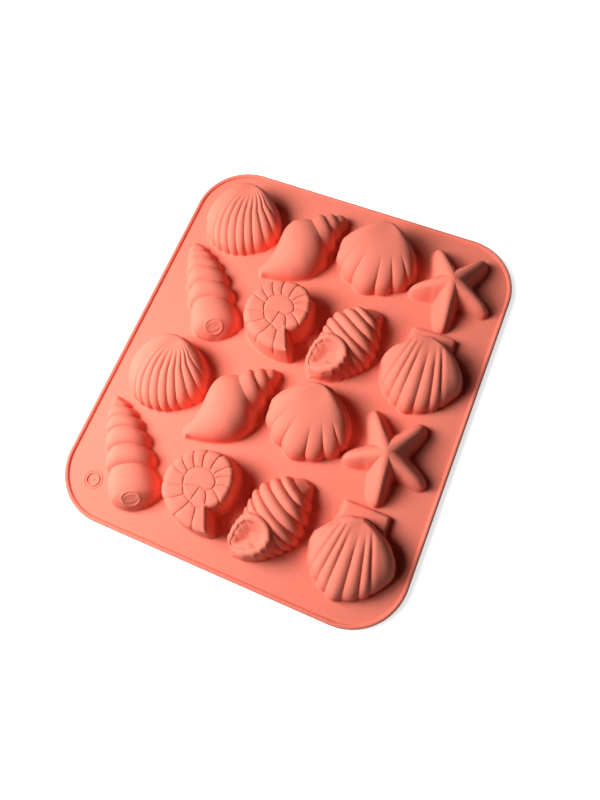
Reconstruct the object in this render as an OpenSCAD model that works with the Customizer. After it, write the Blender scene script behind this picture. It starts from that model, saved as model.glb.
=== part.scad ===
// Flexible sea-shell mould: one thin sheet with a border bead and sixteen shell-shaped cups in relief.
// It lies on the open side of its cups, with the cups upwards.
// The origin is at the middle of the underside, X runs across the four columns and Y along the four rows.

/* [Sheet] */
// Thickness of the flat web between the cups
web_t = 2; // [1.2:0.1:3.5]
// Space between the outer cells and the long edges
side_margin = 11.4; // [8:0.1:24]
// Space between the outer cells and the short edges
end_margin = 9.7; // [8:0.1:24]
// Radius of the four corners at the outer edge
corner_r = 29; // [18:0.5:34]

/* [Border bead] */
// Width of the bead
bead_w = 2.4; // [1.8:0.1:4]
// Height of the bead above the web
bead_rise = 1.2; // [0.8:0.1:4]

/* [Cups] */
// Thickness of the cup walls
wall = 1.6; // [1:0.1:2.2]

/* [Cockle] */
// Length from the beak to the lip
cockle_l = 36.5; // [24:0.5:50]
// Height above the web
cockle_h = 15.5; // [10:0.5:24]
// Depth of the ribs
cockle_rib = 0.8; // [0.3:0.1:1.2]
// Number of ribs
cockle_ribs = 16; // [10:1:18]

/* [Whelk] */
// Length from the canal to the point of the spire
whelk_l = 60; // [40:0.5:80]
// Height above the web
whelk_h = 16.5; // [10:0.5:24]
// Depth of the seams between the whorls
whelk_seam = 1.1; // [0.4:0.1:2]

/* [Lobed fan] */
// Length from the beak to the lip
fan_l = 37; // [26:0.5:56]
// Height above the web
fan_h = 16.5; // [10:0.5:24]
// Depth of the grooves between the lobes
fan_groove = 1.2; // [0.4:0.1:1.8]
// Number of lobes
fan_lobes = 7; // [5:1:9]

/* [Starfish] */
// Length of an arm from the middle
star_arm = 24; // [16:0.5:34]
// Height above the web
star_h = 16; // [10:0.5:24]

/* [Auger] */
// Length from the point to the open end
auger_l = 62.6; // [40:0.1:80]
// Height above the web
auger_h = 11.5; // [8:0.5:18]
// Depth of the seams between the whorls
auger_seam = 1.5; // [0.4:0.1:1.8]

/* [Nautilus] */
// Radius of the coil on its far side from the mouth
coil_r = 18; // [12:0.5:25]
// Height above the web
coil_h = 15.8; // [10:0.5:24]
// Radius of the rounded upper edge
coil_edge = 2.6; // [1.5:0.1:4]
// Depth of the grooves
coil_groove = 0.7; // [0.2:0.1:1.2]
// Least radius of the flat middle
coil_eye_r = 7; // [5:0.1:8]

/* [Turban] */
// Length from the lip to the point of the spire
turban_l = 53; // [36:0.5:72]
// Height above the web
turban_h = 15.5; // [10:0.5:24]
// Depth of the grooves between the cords
turban_groove = 1.4; // [0.4:0.1:2]
// Height of the rim round the aperture
turban_lip = 1.5; // [0.4:0.1:2.5]
// Depth of the hollow inside the rim
turban_hollow = 3; // [1:0.1:4]

/* [Scallop] */
// Length from the beak to the lip
scallop_l = 37; // [26:0.5:56]
// Height above the web
scallop_h = 15.5; // [10:0.5:24]
// Depth of the ribs
scallop_rib = 1; // [0.3:0.1:1.4]
// Number of ribs
scallop_ribs = 10; // [6:1:12]
// Height of the hinge ears above the web
scallop_ear_h = 4.5; // [3:0.1:7]

/* [Gate mark] */
// Radius of the ring round the mark
gate_r = 3.3; // [2:0.1:4.5]
// Height of the ring above the web
gate_h = 0.4; // [0.2:0.1:0.8]
// Distance of its middle from the long edge
gate_inset_x = 18.5; // [14:0.1:24]
// Distance of its middle from the short edge
gate_inset_y = 18.8; // [14:0.1:24]

/* [Hidden] */
$fn = 64;
tint = [0.93, 0.47, 0.38];

// The cells are as wide as the fullest shell needs, and keep their proportion.
cell_w_per_length_shares = [
  [cockle_l, 1.104], [whelk_l, 0.6716], [fan_l, 1.089], [star_arm, 1.679],
  [auger_l, 0.6437], [coil_r, 2.2388], [turban_l, 0.7603], [scallop_l, 1.089]
];
cell_w = max([for (s = cell_w_per_length_shares) s[0] * s[1]]);
cell_aspect_share = 1.213;
cell_l = cell_w * cell_aspect_share;
columns = 4;
rows = 4;
sheet_w = columns * cell_w + 2 * side_margin;
sheet_l = rows * cell_l + 2 * end_margin;
bead_h = web_t + bead_rise;
// Overrun of the cuts past the faces that they pass through
over = web_t / 2;

// Rows of the upper and the lower set of shells, counted from the far end
UPPER = [0, 1];
LOWER = [2, 3];

// Middle of a cell, moved by a share of the cell
function spot(column, row, share) = [
  (column - (columns - 1) / 2 + share[0]) * cell_w,
  ((rows - 1) / 2 - row + share[1]) * cell_l
];

// Curves through tables of shares

// Row of a table that a place falls in
function segment(x, table, i = 0) =
  i >= len(table) - 2 || x < table[i + 1][0] ? i : segment(x, table, i + 1);

// Slope of a table at its row i
function slope(table, i, c) =
  let (a = max(i - 1, 0), b = min(i + 1, len(table) - 1))
  (table[b][c] - table[a][c]) / (table[b][0] - table[a][0]);

// Value in column c of a table at place x, on a smooth curve through its rows
function curve(x, table, c = 1) =
  let (
    i = segment(x, table),
    w = table[i + 1][0] - table[i][0],
    u = (x - table[i][0]) / w
  )
  table[i][c] * (1 + 2 * u) * (1 - u) ^ 2 + table[i + 1][c] * u ^ 2 * (3 - 2 * u)
  + w * (slope(table, i, c) * u * (1 - u) ^ 2 - slope(table, i + 1, c) * u ^ 2 * (1 - u));

// Smooth step from 0 at a to 1 at b
function ease(a, b, x) = let (t = min(1, max(0, (x - a) / (b - a)))) t * t * (3 - 2 * t);

// Closed thin shells

// Shell of nested rings, from the crown down to the foot and up again inside to the vault
module ring_shell(crown, rings, vault) {
  n = len(rings[0]);
  m = len(rings);
  last = n * m + 1;
  polyhedron(
    points = concat([crown], [for (r = rings) each r], [vault]),
    faces = concat(
      [for (j = [0 : n - 1]) [0, 1 + (j + 1) % n, 1 + j]],
      [for (i = [0 : m - 2], j = [0 : n - 1])
        let (a = 1 + i * n, k = (j + 1) % n)
        each [[a + j, a + k, a + n + k], [a + j, a + n + k, a + n + j]]],
      [for (j = [0 : n - 1]) let (a = 1 + (m - 1) * n) [a + j, a + (j + 1) % n, last]]
    )
  );
}

// Shell lofted through arch-shaped rows between two tips, each tip a pair of an outer and an inner point
module arch_shell(start, arches, end, outer_n) {
  n = len(arches[0]);
  m = len(arches);
  s = [0, 1];
  e = [n * m + 2, n * m + 3];
  function side(k) = k < outer_n ? 0 : 1;
  function at(i, k) = 2 + i * n + k % n;
  polyhedron(
    points = concat(start, [for (a = arches) each a], end),
    faces = concat(
      [for (k = [0 : n - 1]) [s[side(k)], at(0, k), at(0, k + 1)]],
      [for (k = [outer_n - 1, n - 1]) [s[side(k)], at(0, k + 1), s[1 - side(k)]]],
      [for (i = [0 : m - 2], k = [0 : n - 1])
        each [[at(i, k), at(i + 1, k), at(i + 1, k + 1)], [at(i, k), at(i + 1, k + 1), at(i, k + 1)]]],
      [for (k = [0 : n - 1]) [at(m - 1, k), e[side(k)], at(m - 1, k + 1)]],
      [for (k = [outer_n - 1, n - 1]) [at(m - 1, k + 1), e[side(k)], e[1 - side(k)]]]
    )
  );
}

// Fan shells: rings of rays round the beak. A ray holds its angle, the reach of the outline and of the dome,
// the relief of the ribs, and the share of the reach where they start.

// Angles: a fixed number per rib across the ribbed front, and the rest behind the beak
full_turn = 360;
function fan_angles(front, ribs, steps, behind) = concat(
  [for (i = [0 : steps * ribs]) front[0] + (front[1] - front[0]) * i / (steps * ribs)],
  [for (i = [1 : behind]) front[1] + (full_turn - front[1] + front[0]) * i / (behind + 1)]
);

// Crest of the ribs across the front: 1 on a rib, -1 in the groove between two, 0 behind the beak
function rib(a, front, ribs) =
  a < front[0] || a > front[1] ? 0 : 2 * abs(sin(180 * ribs * (a - front[0]) / (front[1] - front[0]))) - 1;

// Crest by angle: low behind the beak and full height towards the front
crest_turn = -92;
crest_ease = [-0.4, 0.8];
function crest(a, beak) = beak + (1 - beak) * ease(crest_ease[0], crest_ease[1], cos(a - crest_turn));

// The ribs reach their full depth within this share of the reach after their start
rib_ease_share = 0.45;
// Power by which the ribs spread outwards, and powers that shape the ledge round the dome
rib_spread_power = 3;
ledge_powers = [12, 0.4];

// One ring at share s of the reach, inset by the wall where it is inside
function fan_ring(rays, s, h, beak, place, power, ledge_h, inset) = [
  for (ray = rays)
    let (
      r = s * (ray[1] - inset),
      d = min(1, r / (ray[2] - inset)),
      t = min(1, d / place),
      rise = beak + (crest(ray[0], beak) - beak) * sin(90 * t),
      across = d ^ rib_spread_power,
      relief = ray[3] * ease(ray[4], ray[4] + rib_ease_share, d),
      dome = (h - inset) * rise * (1 - d ^ power) ^ (1 / power) + relief * sqrt(1 - across ^ 2),
      free = ray[1] > ray[2],
      round = (1 - s ^ ledge_powers[0]) ^ ledge_powers[1],
      ledge = free ? (ledge_h - min(inset, ledge_h / 2)) * round : 0,
      out = r + (free ? 0 : relief * across)
    )
    [out * cos(ray[0]), out * sin(ray[0]), web_t + max(0, dome, ledge)]
];

function fan_crown(h, beak, inset) = [0, 0, web_t + (h - inset) * beak];

module fan_shell(rays, h, beak, place, power, ledge_h) {
  color(tint)
    ring_shell(
      fan_crown(h, beak, 0),
      concat(
        [for (s = fan_outer_shares) fan_ring(rays, s, h, beak, place, power, ledge_h, 0)],
        [for (s = fan_inner_shares) fan_ring(rays, s, h, beak, place, power, ledge_h, wall)]
      ),
      fan_crown(h, beak, wall)
    );
}

// Outline of the mouth of a fan shell
function fan_mouth(rays) = fan_ring(rays, 1, wall, 1, 1, 2, 0, wall);

// Rings of the outside and of the inside, as shares of the reach
fan_outer_shares = [0.12, 0.3, 0.5, 0.7, 0.86, 0.95, 0.99, 1];
fan_inner_shares = [1, 0.85, 0.45];

/* Cockle */
cockle_place_share = [-0.014, 0.357];
cockle_front = [-152, 4];
cockle_reach_shares = [
  [-185, 0.3], [-166, 0.45], [-147, 0.65], [-137, 0.77], [-126, 0.88], [-113, 0.98], [-101, 1.02],
  [-82, 1], [-72, 0.96], [-56, 0.9], [-37, 0.77], [-20, 0.55], [-8, 0.39], [16, 0.2], [50, 0.11],
  [90, 0.08], [148, 0.16], [175, 0.3]
];
cockle_beak_share = 0.75;
cockle_crest_place_share = 0.45;
cockle_power = 2.6;
cockle_rib_start_share = 0.1;
// Rays on each rib and behind the beak
cockle_rib_steps = 2;
cockle_behind_rays = 9;

function cockle_rays() = [
  for (a = fan_angles(cockle_front, cockle_ribs, cockle_rib_steps, cockle_behind_rays))
    let (reach = cockle_l * curve(a, cockle_reach_shares))
    [a, reach, reach, cockle_rib / 2 * rib(a, cockle_front, cockle_ribs), cockle_rib_start_share]
];

module cockle_cup(row) {
  translate(spot(0, row, cockle_place_share))
    fan_shell(
      cockle_rays(), cockle_h, cockle_beak_share, cockle_crest_place_share, cockle_power, 0
    );
}

/* Lobed fan */
fan_place_share = [-0.029, 0.398];
fan_front = [-155, -29];
// Reach of the outline and of the dome by angle; beside the beak the edge of the second valve stands out
fan_reach_shares = [
  [-193, 0.25, 0.22], [-169, 0.43, 0.36], [-155, 0.63, 0.6], [-146, 0.76, 0.76], [-133, 0.86, 0.86],
  [-123, 0.9, 0.9], [-106, 0.96, 0.96], [-92, 1, 1], [-72, 0.94, 0.94], [-60, 0.91, 0.91],
  [-50, 0.88, 0.88], [-41, 0.79, 0.79], [-32, 0.67, 0.66], [-18, 0.46, 0.4], [7, 0.22, 0.19],
  [50, 0.12, 0.1], [90, 0.08, 0.08], [140, 0.14, 0.12], [167, 0.25, 0.22]
];
fan_beak_share = 0.75;
fan_crest_place_share = 0.45;
fan_power = 2.8;
fan_ledge_share = 0.3;
fan_rib_start_share = 0.45;
fan_lobe_steps = 4;
fan_behind_rays = 8;

function fan_rays() = [
  for (a = fan_angles(fan_front, fan_lobes, fan_lobe_steps, fan_behind_rays))
    [
      a, fan_l * curve(a, fan_reach_shares), fan_l * curve(a, fan_reach_shares, 2),
      fan_groove / 2 * rib(a, fan_front, fan_lobes), fan_rib_start_share
    ]
];

module fan_cup(row) {
  translate(spot(2, row, fan_place_share))
    fan_shell(
      fan_rays(), fan_h, fan_beak_share, fan_crest_place_share, fan_power, fan_h * fan_ledge_share
    );
}

/* Scallop */
scallop_place_share = [0.021, 0.283];
scallop_front = [-161, -24];
// Reach of the outline and of the dome by angle; behind the beak the outline is that of the hinge ears
scallop_reach_shares = [
  [-192, 0.36, 0.2], [-180, 0.34, 0.3], [-161, 0.45, 0.45], [-152, 0.62, 0.62], [-145, 0.69, 0.69],
  [-138, 0.73, 0.73], [-129, 0.8, 0.8], [-118, 0.87, 0.87], [-108, 0.92, 0.92], [-92, 1, 1],
  [-84, 0.97, 0.97], [-74, 0.93, 0.93], [-63, 0.88, 0.88], [-52, 0.81, 0.81], [-38, 0.75, 0.75],
  [-30, 0.67, 0.67], [-19, 0.52, 0.5], [-5, 0.36, 0.32], [10, 0.37, 0.2], [32, 0.45, 0.12],
  [50, 0.33, 0.1], [90, 0.26, 0.09], [130, 0.33, 0.1], [143, 0.42, 0.12], [168, 0.36, 0.2]
];
scallop_beak_share = 0.66;
scallop_crest_place_share = 0.55;
scallop_power = 2.6;
scallop_rib_start_share = 0.15;
scallop_rib_steps = 2;
scallop_behind_rays = 14;

function scallop_rays() = [
  for (a = fan_angles(scallop_front, scallop_ribs, scallop_rib_steps, scallop_behind_rays))
    [
      a, scallop_l * curve(a, scallop_reach_shares), scallop_l * curve(a, scallop_reach_shares, 2),
      scallop_rib / 2 * rib(a, scallop_front, scallop_ribs), scallop_rib_start_share
    ]
];

module scallop_cup(row) {
  translate(spot(3, row, scallop_place_share))
    fan_shell(
      scallop_rays(), scallop_h, scallop_beak_share, scallop_crest_place_share, scallop_power, scallop_ear_h
    );
}

/* Starfish */
star_place_share = [-0.005, 0.013];
// Direction of each arm and its length beside the named one; the last arm is the first, one turn on
star_arm_angles = [-81, -19, 59, 124, 203.4, 279];
star_arm_shares = [1.06, 1.02, 1.07, 1.03, 0.9, 1.06];
// Reach of the outline by the angle from the middle of an arm, and fall of the ridge towards the tip
star_reach_shares = [[0, 1], [5, 0.99], [9, 0.95], [13, 0.87], [19, 0.73], [27, 0.57], [36, 0.49]];
star_fall_shares = [[0, 0.5], [9, 0.47], [19, 0.5], [36, 0.75]];
// Half the angle between two even arms, as the tables have it
star_half_angle = 36;
star_steps = 8;
star_outer_shares = [0.15, 0.4, 0.65, 0.85, 0.96, 1];
star_inner_shares = [1, 0.8, 0.4];
star_power = 4;

// Value of a list between its entry i and the next
function between(list, i, u) = list[i] + (list[i + 1] - list[i]) * u;

function star_ring(s, inset) = [
  for (arm = [0 : len(star_arm_angles) - 2], i = [0 : star_steps - 1])
    let (
      u = i / star_steps,
      off = star_half_angle * 2 * min(u, 1 - u),
      a = between(star_arm_angles, arm, u),
      reach = star_arm * between(star_arm_shares, arm, ease(0, 1, u)) * curve(off, star_reach_shares),
      r = s * (reach - inset),
      z = (star_h - inset) * (1 - curve(off, star_fall_shares) * s) * (1 - s ^ star_power) ^ (1 / star_power)
    )
    [r * cos(a), r * sin(a), web_t + z]
];

module starfish_cup(row) {
  color(tint)
    translate(spot(3, row, star_place_share))
      ring_shell(
        [0, 0, web_t + star_h],
        concat(
          [for (s = star_outer_shares) star_ring(s, 0)],
          [for (s = star_inner_shares) star_ring(s, wall)]
        ),
        [0, 0, web_t + star_h - wall]
      );
}

/* Nautilus */
coil_place_share = [0.041, 0.05];
// Reach of the upper edge by angle, from the notch beside the mouth round to the mouth's outer corner
coil_reach_shares = [
  [-46, 0.73], [-36, 0.82], [-21, 0.89], [-4, 0.91], [18, 0.967], [37, 1.02], [52, 1.035], [68, 1.01],
  [85, 0.955], [104, 0.91], [122, 0.9], [143, 0.9], [166, 0.915], [188, 0.96], [210, 1.01],
  [226, 1.04], [251, 1.08], [276, 1.18], [295, 1.3], [305, 1.38]
];
coil_groove_angles = [-14, 9, 29, 44, 66, 95, 121, 147, 168, 206, 236, 264, 288];
// Radius of the flat middle by angle, beside its least
coil_eye_shares = [
  [-46, 1.35], [-22, 1.15], [-3, 1.17], [17, 1.28], [40, 1.23], [70, 1.13], [103, 1], [175, 1],
  [218, 1.02], [248, 1.25], [276, 1.43], [305, 1.65]
];
coil_groove_side_angle = 3;
coil_draft_share = 0.11;
// Slope of the rounded upper edge at the ring halfway down it
coil_edge_angle = 50;
coil_start_angle = coil_reach_shares[0][0];
coil_end_angle = coil_reach_shares[len(coil_reach_shares) - 1][0];

// Ray angles: three at each groove, one between, and the two ends of the mouth
function coil_angles() = concat(
  [coil_start_angle, (coil_start_angle + coil_groove_angles[0]) / 2],
  [for (i = [0 : len(coil_groove_angles) - 1])
    let (
      g = coil_groove_angles[i],
      next = i < len(coil_groove_angles) - 1 ? coil_groove_angles[i + 1] : coil_end_angle
    )
    each [g - coil_groove_side_angle, g, g + coil_groove_side_angle, (g + next) / 2]],
  [coil_end_angle]
);

function coil_cut(a) = len([for (g = coil_groove_angles) if (a == g) g]) > 0 ? coil_groove : 0;

// One ring round the flat middle, a distance inside its edge
function coil_inner_ring(d, z) = [
  for (a = coil_angles())
    let (r = coil_eye_r * curve(a, coil_eye_shares) - d)
    [r * cos(a), r * sin(a), web_t + z]
];

// One ring at a distance in from the outline, at a height
function coil_outer_ring(d, z, cut) = [
  for (a = coil_angles())
    let (r = coil_r * curve(a, coil_reach_shares) - d)
    [r * cos(a), r * sin(a), web_t + z - (cut ? coil_cut(a) : 0)]
];

module nautilus_cup(row) {
  draft = coil_h * coil_draft_share;
  color(tint)
    translate(spot(1, row, coil_place_share))
      ring_shell(
        [0, 0, web_t + coil_h],
        [
          coil_inner_ring(coil_groove, coil_h),
          coil_inner_ring(0, coil_h - coil_groove),
          coil_outer_ring(coil_edge, coil_h, true),
          coil_outer_ring(
            coil_edge * (1 - sin(coil_edge_angle)), coil_h - coil_edge * (1 - cos(coil_edge_angle)), true
          ),
          coil_outer_ring(0, coil_h - coil_edge, false),
          coil_outer_ring(-draft, 0, false),
          coil_outer_ring(wall - draft, 0, false),
          coil_outer_ring(wall, coil_h - coil_edge, false),
          coil_outer_ring(wall + coil_edge / 2, coil_h - wall, false)
        ],
        [0, 0, web_t + coil_h - wall]
      );
}

function coil_mouth() = coil_outer_ring(wall - coil_h * coil_draft_share, 0, false);

// Spindle shells: lofted along their axis in arches that follow the seams

outer_arch_angles = [180, 163, 142, 118, 90, 62, 38, 17, 0];
inner_arch_angles = [0, 50, 90, 130, 180];
arch_power = 2.3;

function arch_x(a) = sign(cos(a)) * abs(cos(a)) ^ (2 / arch_power);
function arch_z(a) = abs(sin(a)) ^ (2 / arch_power);
// A wall takes no more than half of a narrow tip
function less(w, inset) = w - min(inset, w / 2);
// A seam cuts the arch that is as near to it as this share of the length
seam_near_share = 0.001;

// One arch at share t of the length: turn of the axis, half widths, height, slant and bow of the seam
function arch(t, l, turn, sides, h, slant, bow, inset, angles) =
  let (a0 = inset + t * (l - 2 * inset))
  [
    for (v = angles)
      let (
        x = arch_x(v) * less(cos(v) > 0 ? sides[1] : sides[0], inset),
        a = a0 + slant * x + bow * abs(x) * abs(arch_x(v)),
        z = arch_z(v) * less(h, inset)
      )
      [a * cos(turn) + x * sin(turn), a * sin(turn) - x * cos(turn), web_t + z]
  ];

function spindle(ts, l, h, turn, shares, seams, depth, slant, bow, outer = outer_arch_angles) = [
  for (t = ts)
    let (
      cut = len([for (s = seams) if (abs(t - s) < seam_near_share) s]) > 0 ? depth : 0,
      sides = [l * curve(t, shares, 1) - cut, l * curve(t, shares, 2) - cut],
      height = h * curve(t, shares, 3) - cut
    )
    concat(
      arch(t, l, turn, sides, height, slant, bow, 0, outer),
      arch(t, l, turn, sides, height, slant, bow, wall, inner_arch_angles)
    )
];

// Places of the arches: one in each seam and two on each whorl
whorl_shares = [0, 0.25, 0.7];
function seam_arch_shares(seams, first, after) = concat(
  first,
  [for (i = [0 : len(seams) - 1])
    let (s = seams[i], next = i < len(seams) - 1 ? seams[i + 1] : after)
    for (w = whorl_shares) s + (next - s) * w]
);

function tip(d, turn) = [d * cos(turn), d * sin(turn), web_t];

// Number of points on the outside of an arch
function outer_count(arches) = len(arches[0]) - len(inner_arch_angles);

module spindle_cup(arches, l, turn) {
  color(tint)
    arch_shell(
      [tip(0, turn), tip(wall, turn)], arches, [tip(l, turn), tip(l - wall, turn)], outer_count(arches)
    );
}

// Outline of the mouth of a spindle shell
function spindle_mouth(arches, l, turn) = concat(
  [tip(wall, turn)],
  [for (a = arches) a[outer_count(arches)]],
  [tip(l - wall, turn)],
  [for (i = [len(arches) - 1 : -1 : 0]) arches[i][len(arches[i]) - 1]]
);

/* Auger */
auger_place_share = [-0.543, 0.588];
auger_turn = -53.6;
auger_shares = [
  [0, 0, 0, 0], [0.02, 0.035, 0.03, 0.24], [0.05, 0.062, 0.045, 0.36], [0.08, 0.085, 0.055, 0.42],
  [0.16, 0.13, 0.083, 0.56], [0.27, 0.172, 0.107, 0.7], [0.37, 0.193, 0.125, 0.8],
  [0.54, 0.21, 0.145, 0.92], [0.69, 0.216, 0.167, 1], [0.83, 0.203, 0.155, 0.95],
  [0.9, 0.16, 0.135, 0.8], [0.96, 0.1, 0.08, 0.5], [1, 0, 0, 0]
];
auger_seam_shares = [0.11, 0.2, 0.31, 0.465, 0.634];

auger_slant_share = -0.07;
auger_bow_share = 0.2;
auger_tip_shares = [0.02, 0.07];
auger_end_shares = [0.83, 0.9, 0.95, 0.985];
auger_arch_shares = concat(
  seam_arch_shares(auger_seam_shares, auger_tip_shares, auger_end_shares[0]), auger_end_shares
);

function auger_arches() = spindle(
  auger_arch_shares, auger_l, auger_h, auger_turn, auger_shares, auger_seam_shares, auger_seam,
  auger_slant_share, auger_bow_share
);

module auger_cup(row) {
  translate(spot(0, row, auger_place_share)) spindle_cup(auger_arches(), auger_l, auger_turn);
}

/* Whelk */
whelk_place_share = [-0.455, -0.553];
whelk_turn = 56.6;
whelk_shares = [
  [0, 0, 0, 0], [0.015, 0.065, 0.018, 0.28], [0.05, 0.078, 0.048, 0.37], [0.1, 0.075, 0.102, 0.46],
  [0.19, 0.105, 0.178, 0.62], [0.275, 0.165, 0.235, 0.8], [0.38, 0.242, 0.28, 0.96],
  [0.475, 0.262, 0.285, 1], [0.56, 0.232, 0.265, 0.98], [0.625, 0.2, 0.21, 0.92],
  [0.667, 0.185, 0.188, 0.87], [0.74, 0.17, 0.155, 0.79], [0.787, 0.148, 0.13, 0.72],
  [0.85, 0.118, 0.095, 0.6], [0.93, 0.07, 0.05, 0.41], [1, 0, 0, 0]
];
whelk_seam_shares = [0.63, 0.765, 0.87];
whelk_slant_share = -0.18;
whelk_bow_share = 0.1;
whelk_body_shares = [0.015, 0.06, 0.14, 0.22, 0.3, 0.38, 0.47, 0.54, 0.6];
whelk_end_shares = [0.95, 0.98];
whelk_arch_shares = concat(
  seam_arch_shares(whelk_seam_shares, whelk_body_shares, whelk_end_shares[0]), [whelk_end_shares[1]]
);

function whelk_arches() = spindle(
  whelk_arch_shares, whelk_l, whelk_h, whelk_turn, whelk_shares, whelk_seam_shares, whelk_seam,
  whelk_slant_share, whelk_bow_share
);

module whelk_cup(row) {
  translate(spot(1, row, whelk_place_share)) spindle_cup(whelk_arches(), whelk_l, whelk_turn);
}

/* Turban */
turban_place_share = [-0.277, -0.461];
turban_turn = 63.2;
turban_shares = [
  [0, 0, 0, 0], [0.04, 0.125, 0.09, 0.42], [0.1, 0.155, 0.18, 0.62], [0.18, 0.175, 0.26, 0.8],
  [0.28, 0.22, 0.3, 0.92], [0.36, 0.27, 0.31, 0.98], [0.45, 0.3, 0.3, 1], [0.55, 0.3, 0.28, 1],
  [0.65, 0.28, 0.25, 0.94], [0.75, 0.23, 0.21, 0.84], [0.85, 0.16, 0.155, 0.68], [0.93, 0.1, 0.1, 0.5],
  [1, 0, 0, 0]
];
turban_seam_shares = [0.1, 0.205, 0.315, 0.425, 0.54, 0.65, 0.755, 0.85];
turban_bow_share = 0.22;
turban_tip_shares = [0.03, 0.065];
turban_end_shares = [0.94, 0.975];
turban_arch_shares = concat(
  seam_arch_shares(turban_seam_shares, turban_tip_shares, turban_end_shares[0]), [turban_end_shares[1]]
);
turban_arch_angles = [180, 165, 148, 130, 114, 102, 90, 78, 66, 50, 32, 15, 0];
// Middle of the aperture along the axis and across it, its half axes, and the width of its rim
aperture_place_share = [0.24, 0.008];
aperture_shares = [0.185, 0.138];
aperture_rim_share = 0.3;
// The hollow reaches its depth at this share of the way in, and the shell is flat as far out as the second
aperture_floor_share = 0.5;
aperture_flat_share = 1.3;
aperture_flat_power = 6;

// Place of a point in the aperture: 0 in its middle and 1 on its rim
function aperture_at(x, y) =
  let (
    a = x * cos(turban_turn) + y * sin(turban_turn) - aperture_place_share[0] * turban_l,
    b = x * sin(turban_turn) - y * cos(turban_turn) - aperture_place_share[1] * turban_l
  )
  norm([a / aperture_shares[0], b / aperture_shares[1]]) / turban_l;

// Height that the aperture adds: a rim round a hollow; the wall inside follows the hollow only
function aperture_rise(q, inner) =
  (inner ? 0 : turban_lip * max(0, 1 - abs(q - 1) / aperture_rim_share))
  - turban_hollow * ease(1, aperture_floor_share, q);

// Flatter section round the aperture, beside the height of the plain arch at the angle v
function aperture_fill(q, v) =
  let (flat = (1 - abs(arch_x(v)) ^ aperture_flat_power) ^ (1 / aperture_flat_power))
  1 + (flat / arch_z(v) - 1) * ease(aperture_flat_share, 1, q);

function turban_spindle(depth) = spindle(
  turban_arch_shares, turban_l, turban_h, turban_turn, turban_shares, turban_seam_shares, depth,
  0, turban_bow_share, turban_arch_angles
);

// The cords fade out where the aperture is
function turban_arches() =
  let (corded = turban_spindle(turban_groove), plain = turban_spindle(0))
  [
    for (k = [0 : len(corded) - 1])
      [
        for (i = [0 : len(corded[k]) - 1])
          let (
            inner = i >= len(turban_arch_angles),
            v = inner ? inner_arch_angles[i - len(turban_arch_angles)] : turban_arch_angles[i],
            c = corded[k][i],
            q = aperture_at(c[0], c[1]),
            p = c + (plain[k][i] - c) * ease(aperture_flat_share, 1, q),
            foot = v == outer_arch_angles[0] || v == inner_arch_angles[0],
            h = foot ? 0 : (p[2] - web_t) * aperture_fill(q, v) + aperture_rise(q, inner)
          )
          [p[0], p[1], web_t + max(0, h)]
      ]
  ];

module turban_cup(row) {
  translate(spot(2, row, turban_place_share)) spindle_cup(turban_arches(), turban_l, turban_turn);
}

// Sheet

// Middle of the far right corner's curve
corner_x = sheet_w / 2 - corner_r;
corner_y = sheet_l / 2 - corner_r;

// The far right quarter, mirrored into the other three
module quarters() {
  for (i = [0, 1], j = [0, 1])
    mirror([i, 0, 0]) mirror([0, j, 0]) translate([corner_x, corner_y, 0]) children();
}

module sheet_outline(r) {
  quarters() {
    circle(r);
    translate([-corner_x, 0]) square([corner_x, r]);
    translate([0, -corner_y]) square([r, corner_y]);
    translate([-corner_x, -corner_y]) square([corner_x, corner_y]);
  }
}

module mouth(ring, column, row, share) {
  translate(concat(spot(column, row, share), [-over]))
    linear_extrude(web_t + 2 * over)
      polygon([for (p = ring) [p[0], p[1]]]);
}

// Shallow mark of two rings and a dot, left where the mould was filled
gate_rim_share = 1.42;
gate_dot_share = 0.25;
gate_line = gate_h;

module gate_mark() {
  translate([gate_inset_x - sheet_w / 2, gate_inset_y - sheet_l / 2, web_t])
    rotate_extrude() {
      square([gate_r * gate_dot_share, gate_h]);
      translate([gate_r - gate_line, 0]) square([gate_line, gate_h]);
      translate([gate_r * gate_rim_share - gate_line, 0]) square([gate_line, gate_h / 2]);
    }
}

module web() {
  color(tint) gate_mark();
  color(tint)
    difference() {
      linear_extrude(web_t) sheet_outline(corner_r - bead_w);
      for (set = [UPPER, LOWER]) {
        mouth(fan_mouth(cockle_rays()), 0, set[0], cockle_place_share);
        mouth(fan_mouth(fan_rays()), 2, set[0], fan_place_share);
        mouth(star_ring(1, wall), 3, set[0], star_place_share);
        mouth(fan_mouth(scallop_rays()), 3, set[1], scallop_place_share);
        mouth(coil_mouth(), 1, set[1], coil_place_share);
        mouth(spindle_mouth(auger_arches(), auger_l, auger_turn), 0, set[1], auger_place_share);
        mouth(spindle_mouth(whelk_arches(), whelk_l, whelk_turn), 1, set[0], whelk_place_share);
        mouth(spindle_mouth(turban_arches(), turban_l, turban_turn), 2, set[1], turban_place_share);
      }
    }
}

module bead_profile() {
  top = bead_h - bead_w / 2;
  square([bead_w, top]);
  translate([bead_w / 2, top]) circle(bead_w / 2);
}

module border_bead() {
  inner_r = corner_r - bead_w;
  color(tint)
    quarters() {
      rotate_extrude(angle = 90) translate([inner_r, 0]) bead_profile();
      translate([inner_r, 0, 0]) rotate([90, 0, 0]) linear_extrude(corner_y) bead_profile();
      translate([-corner_x, inner_r, 0]) rotate([90, 0, 90]) linear_extrude(corner_x) bead_profile();
    }
}

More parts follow.
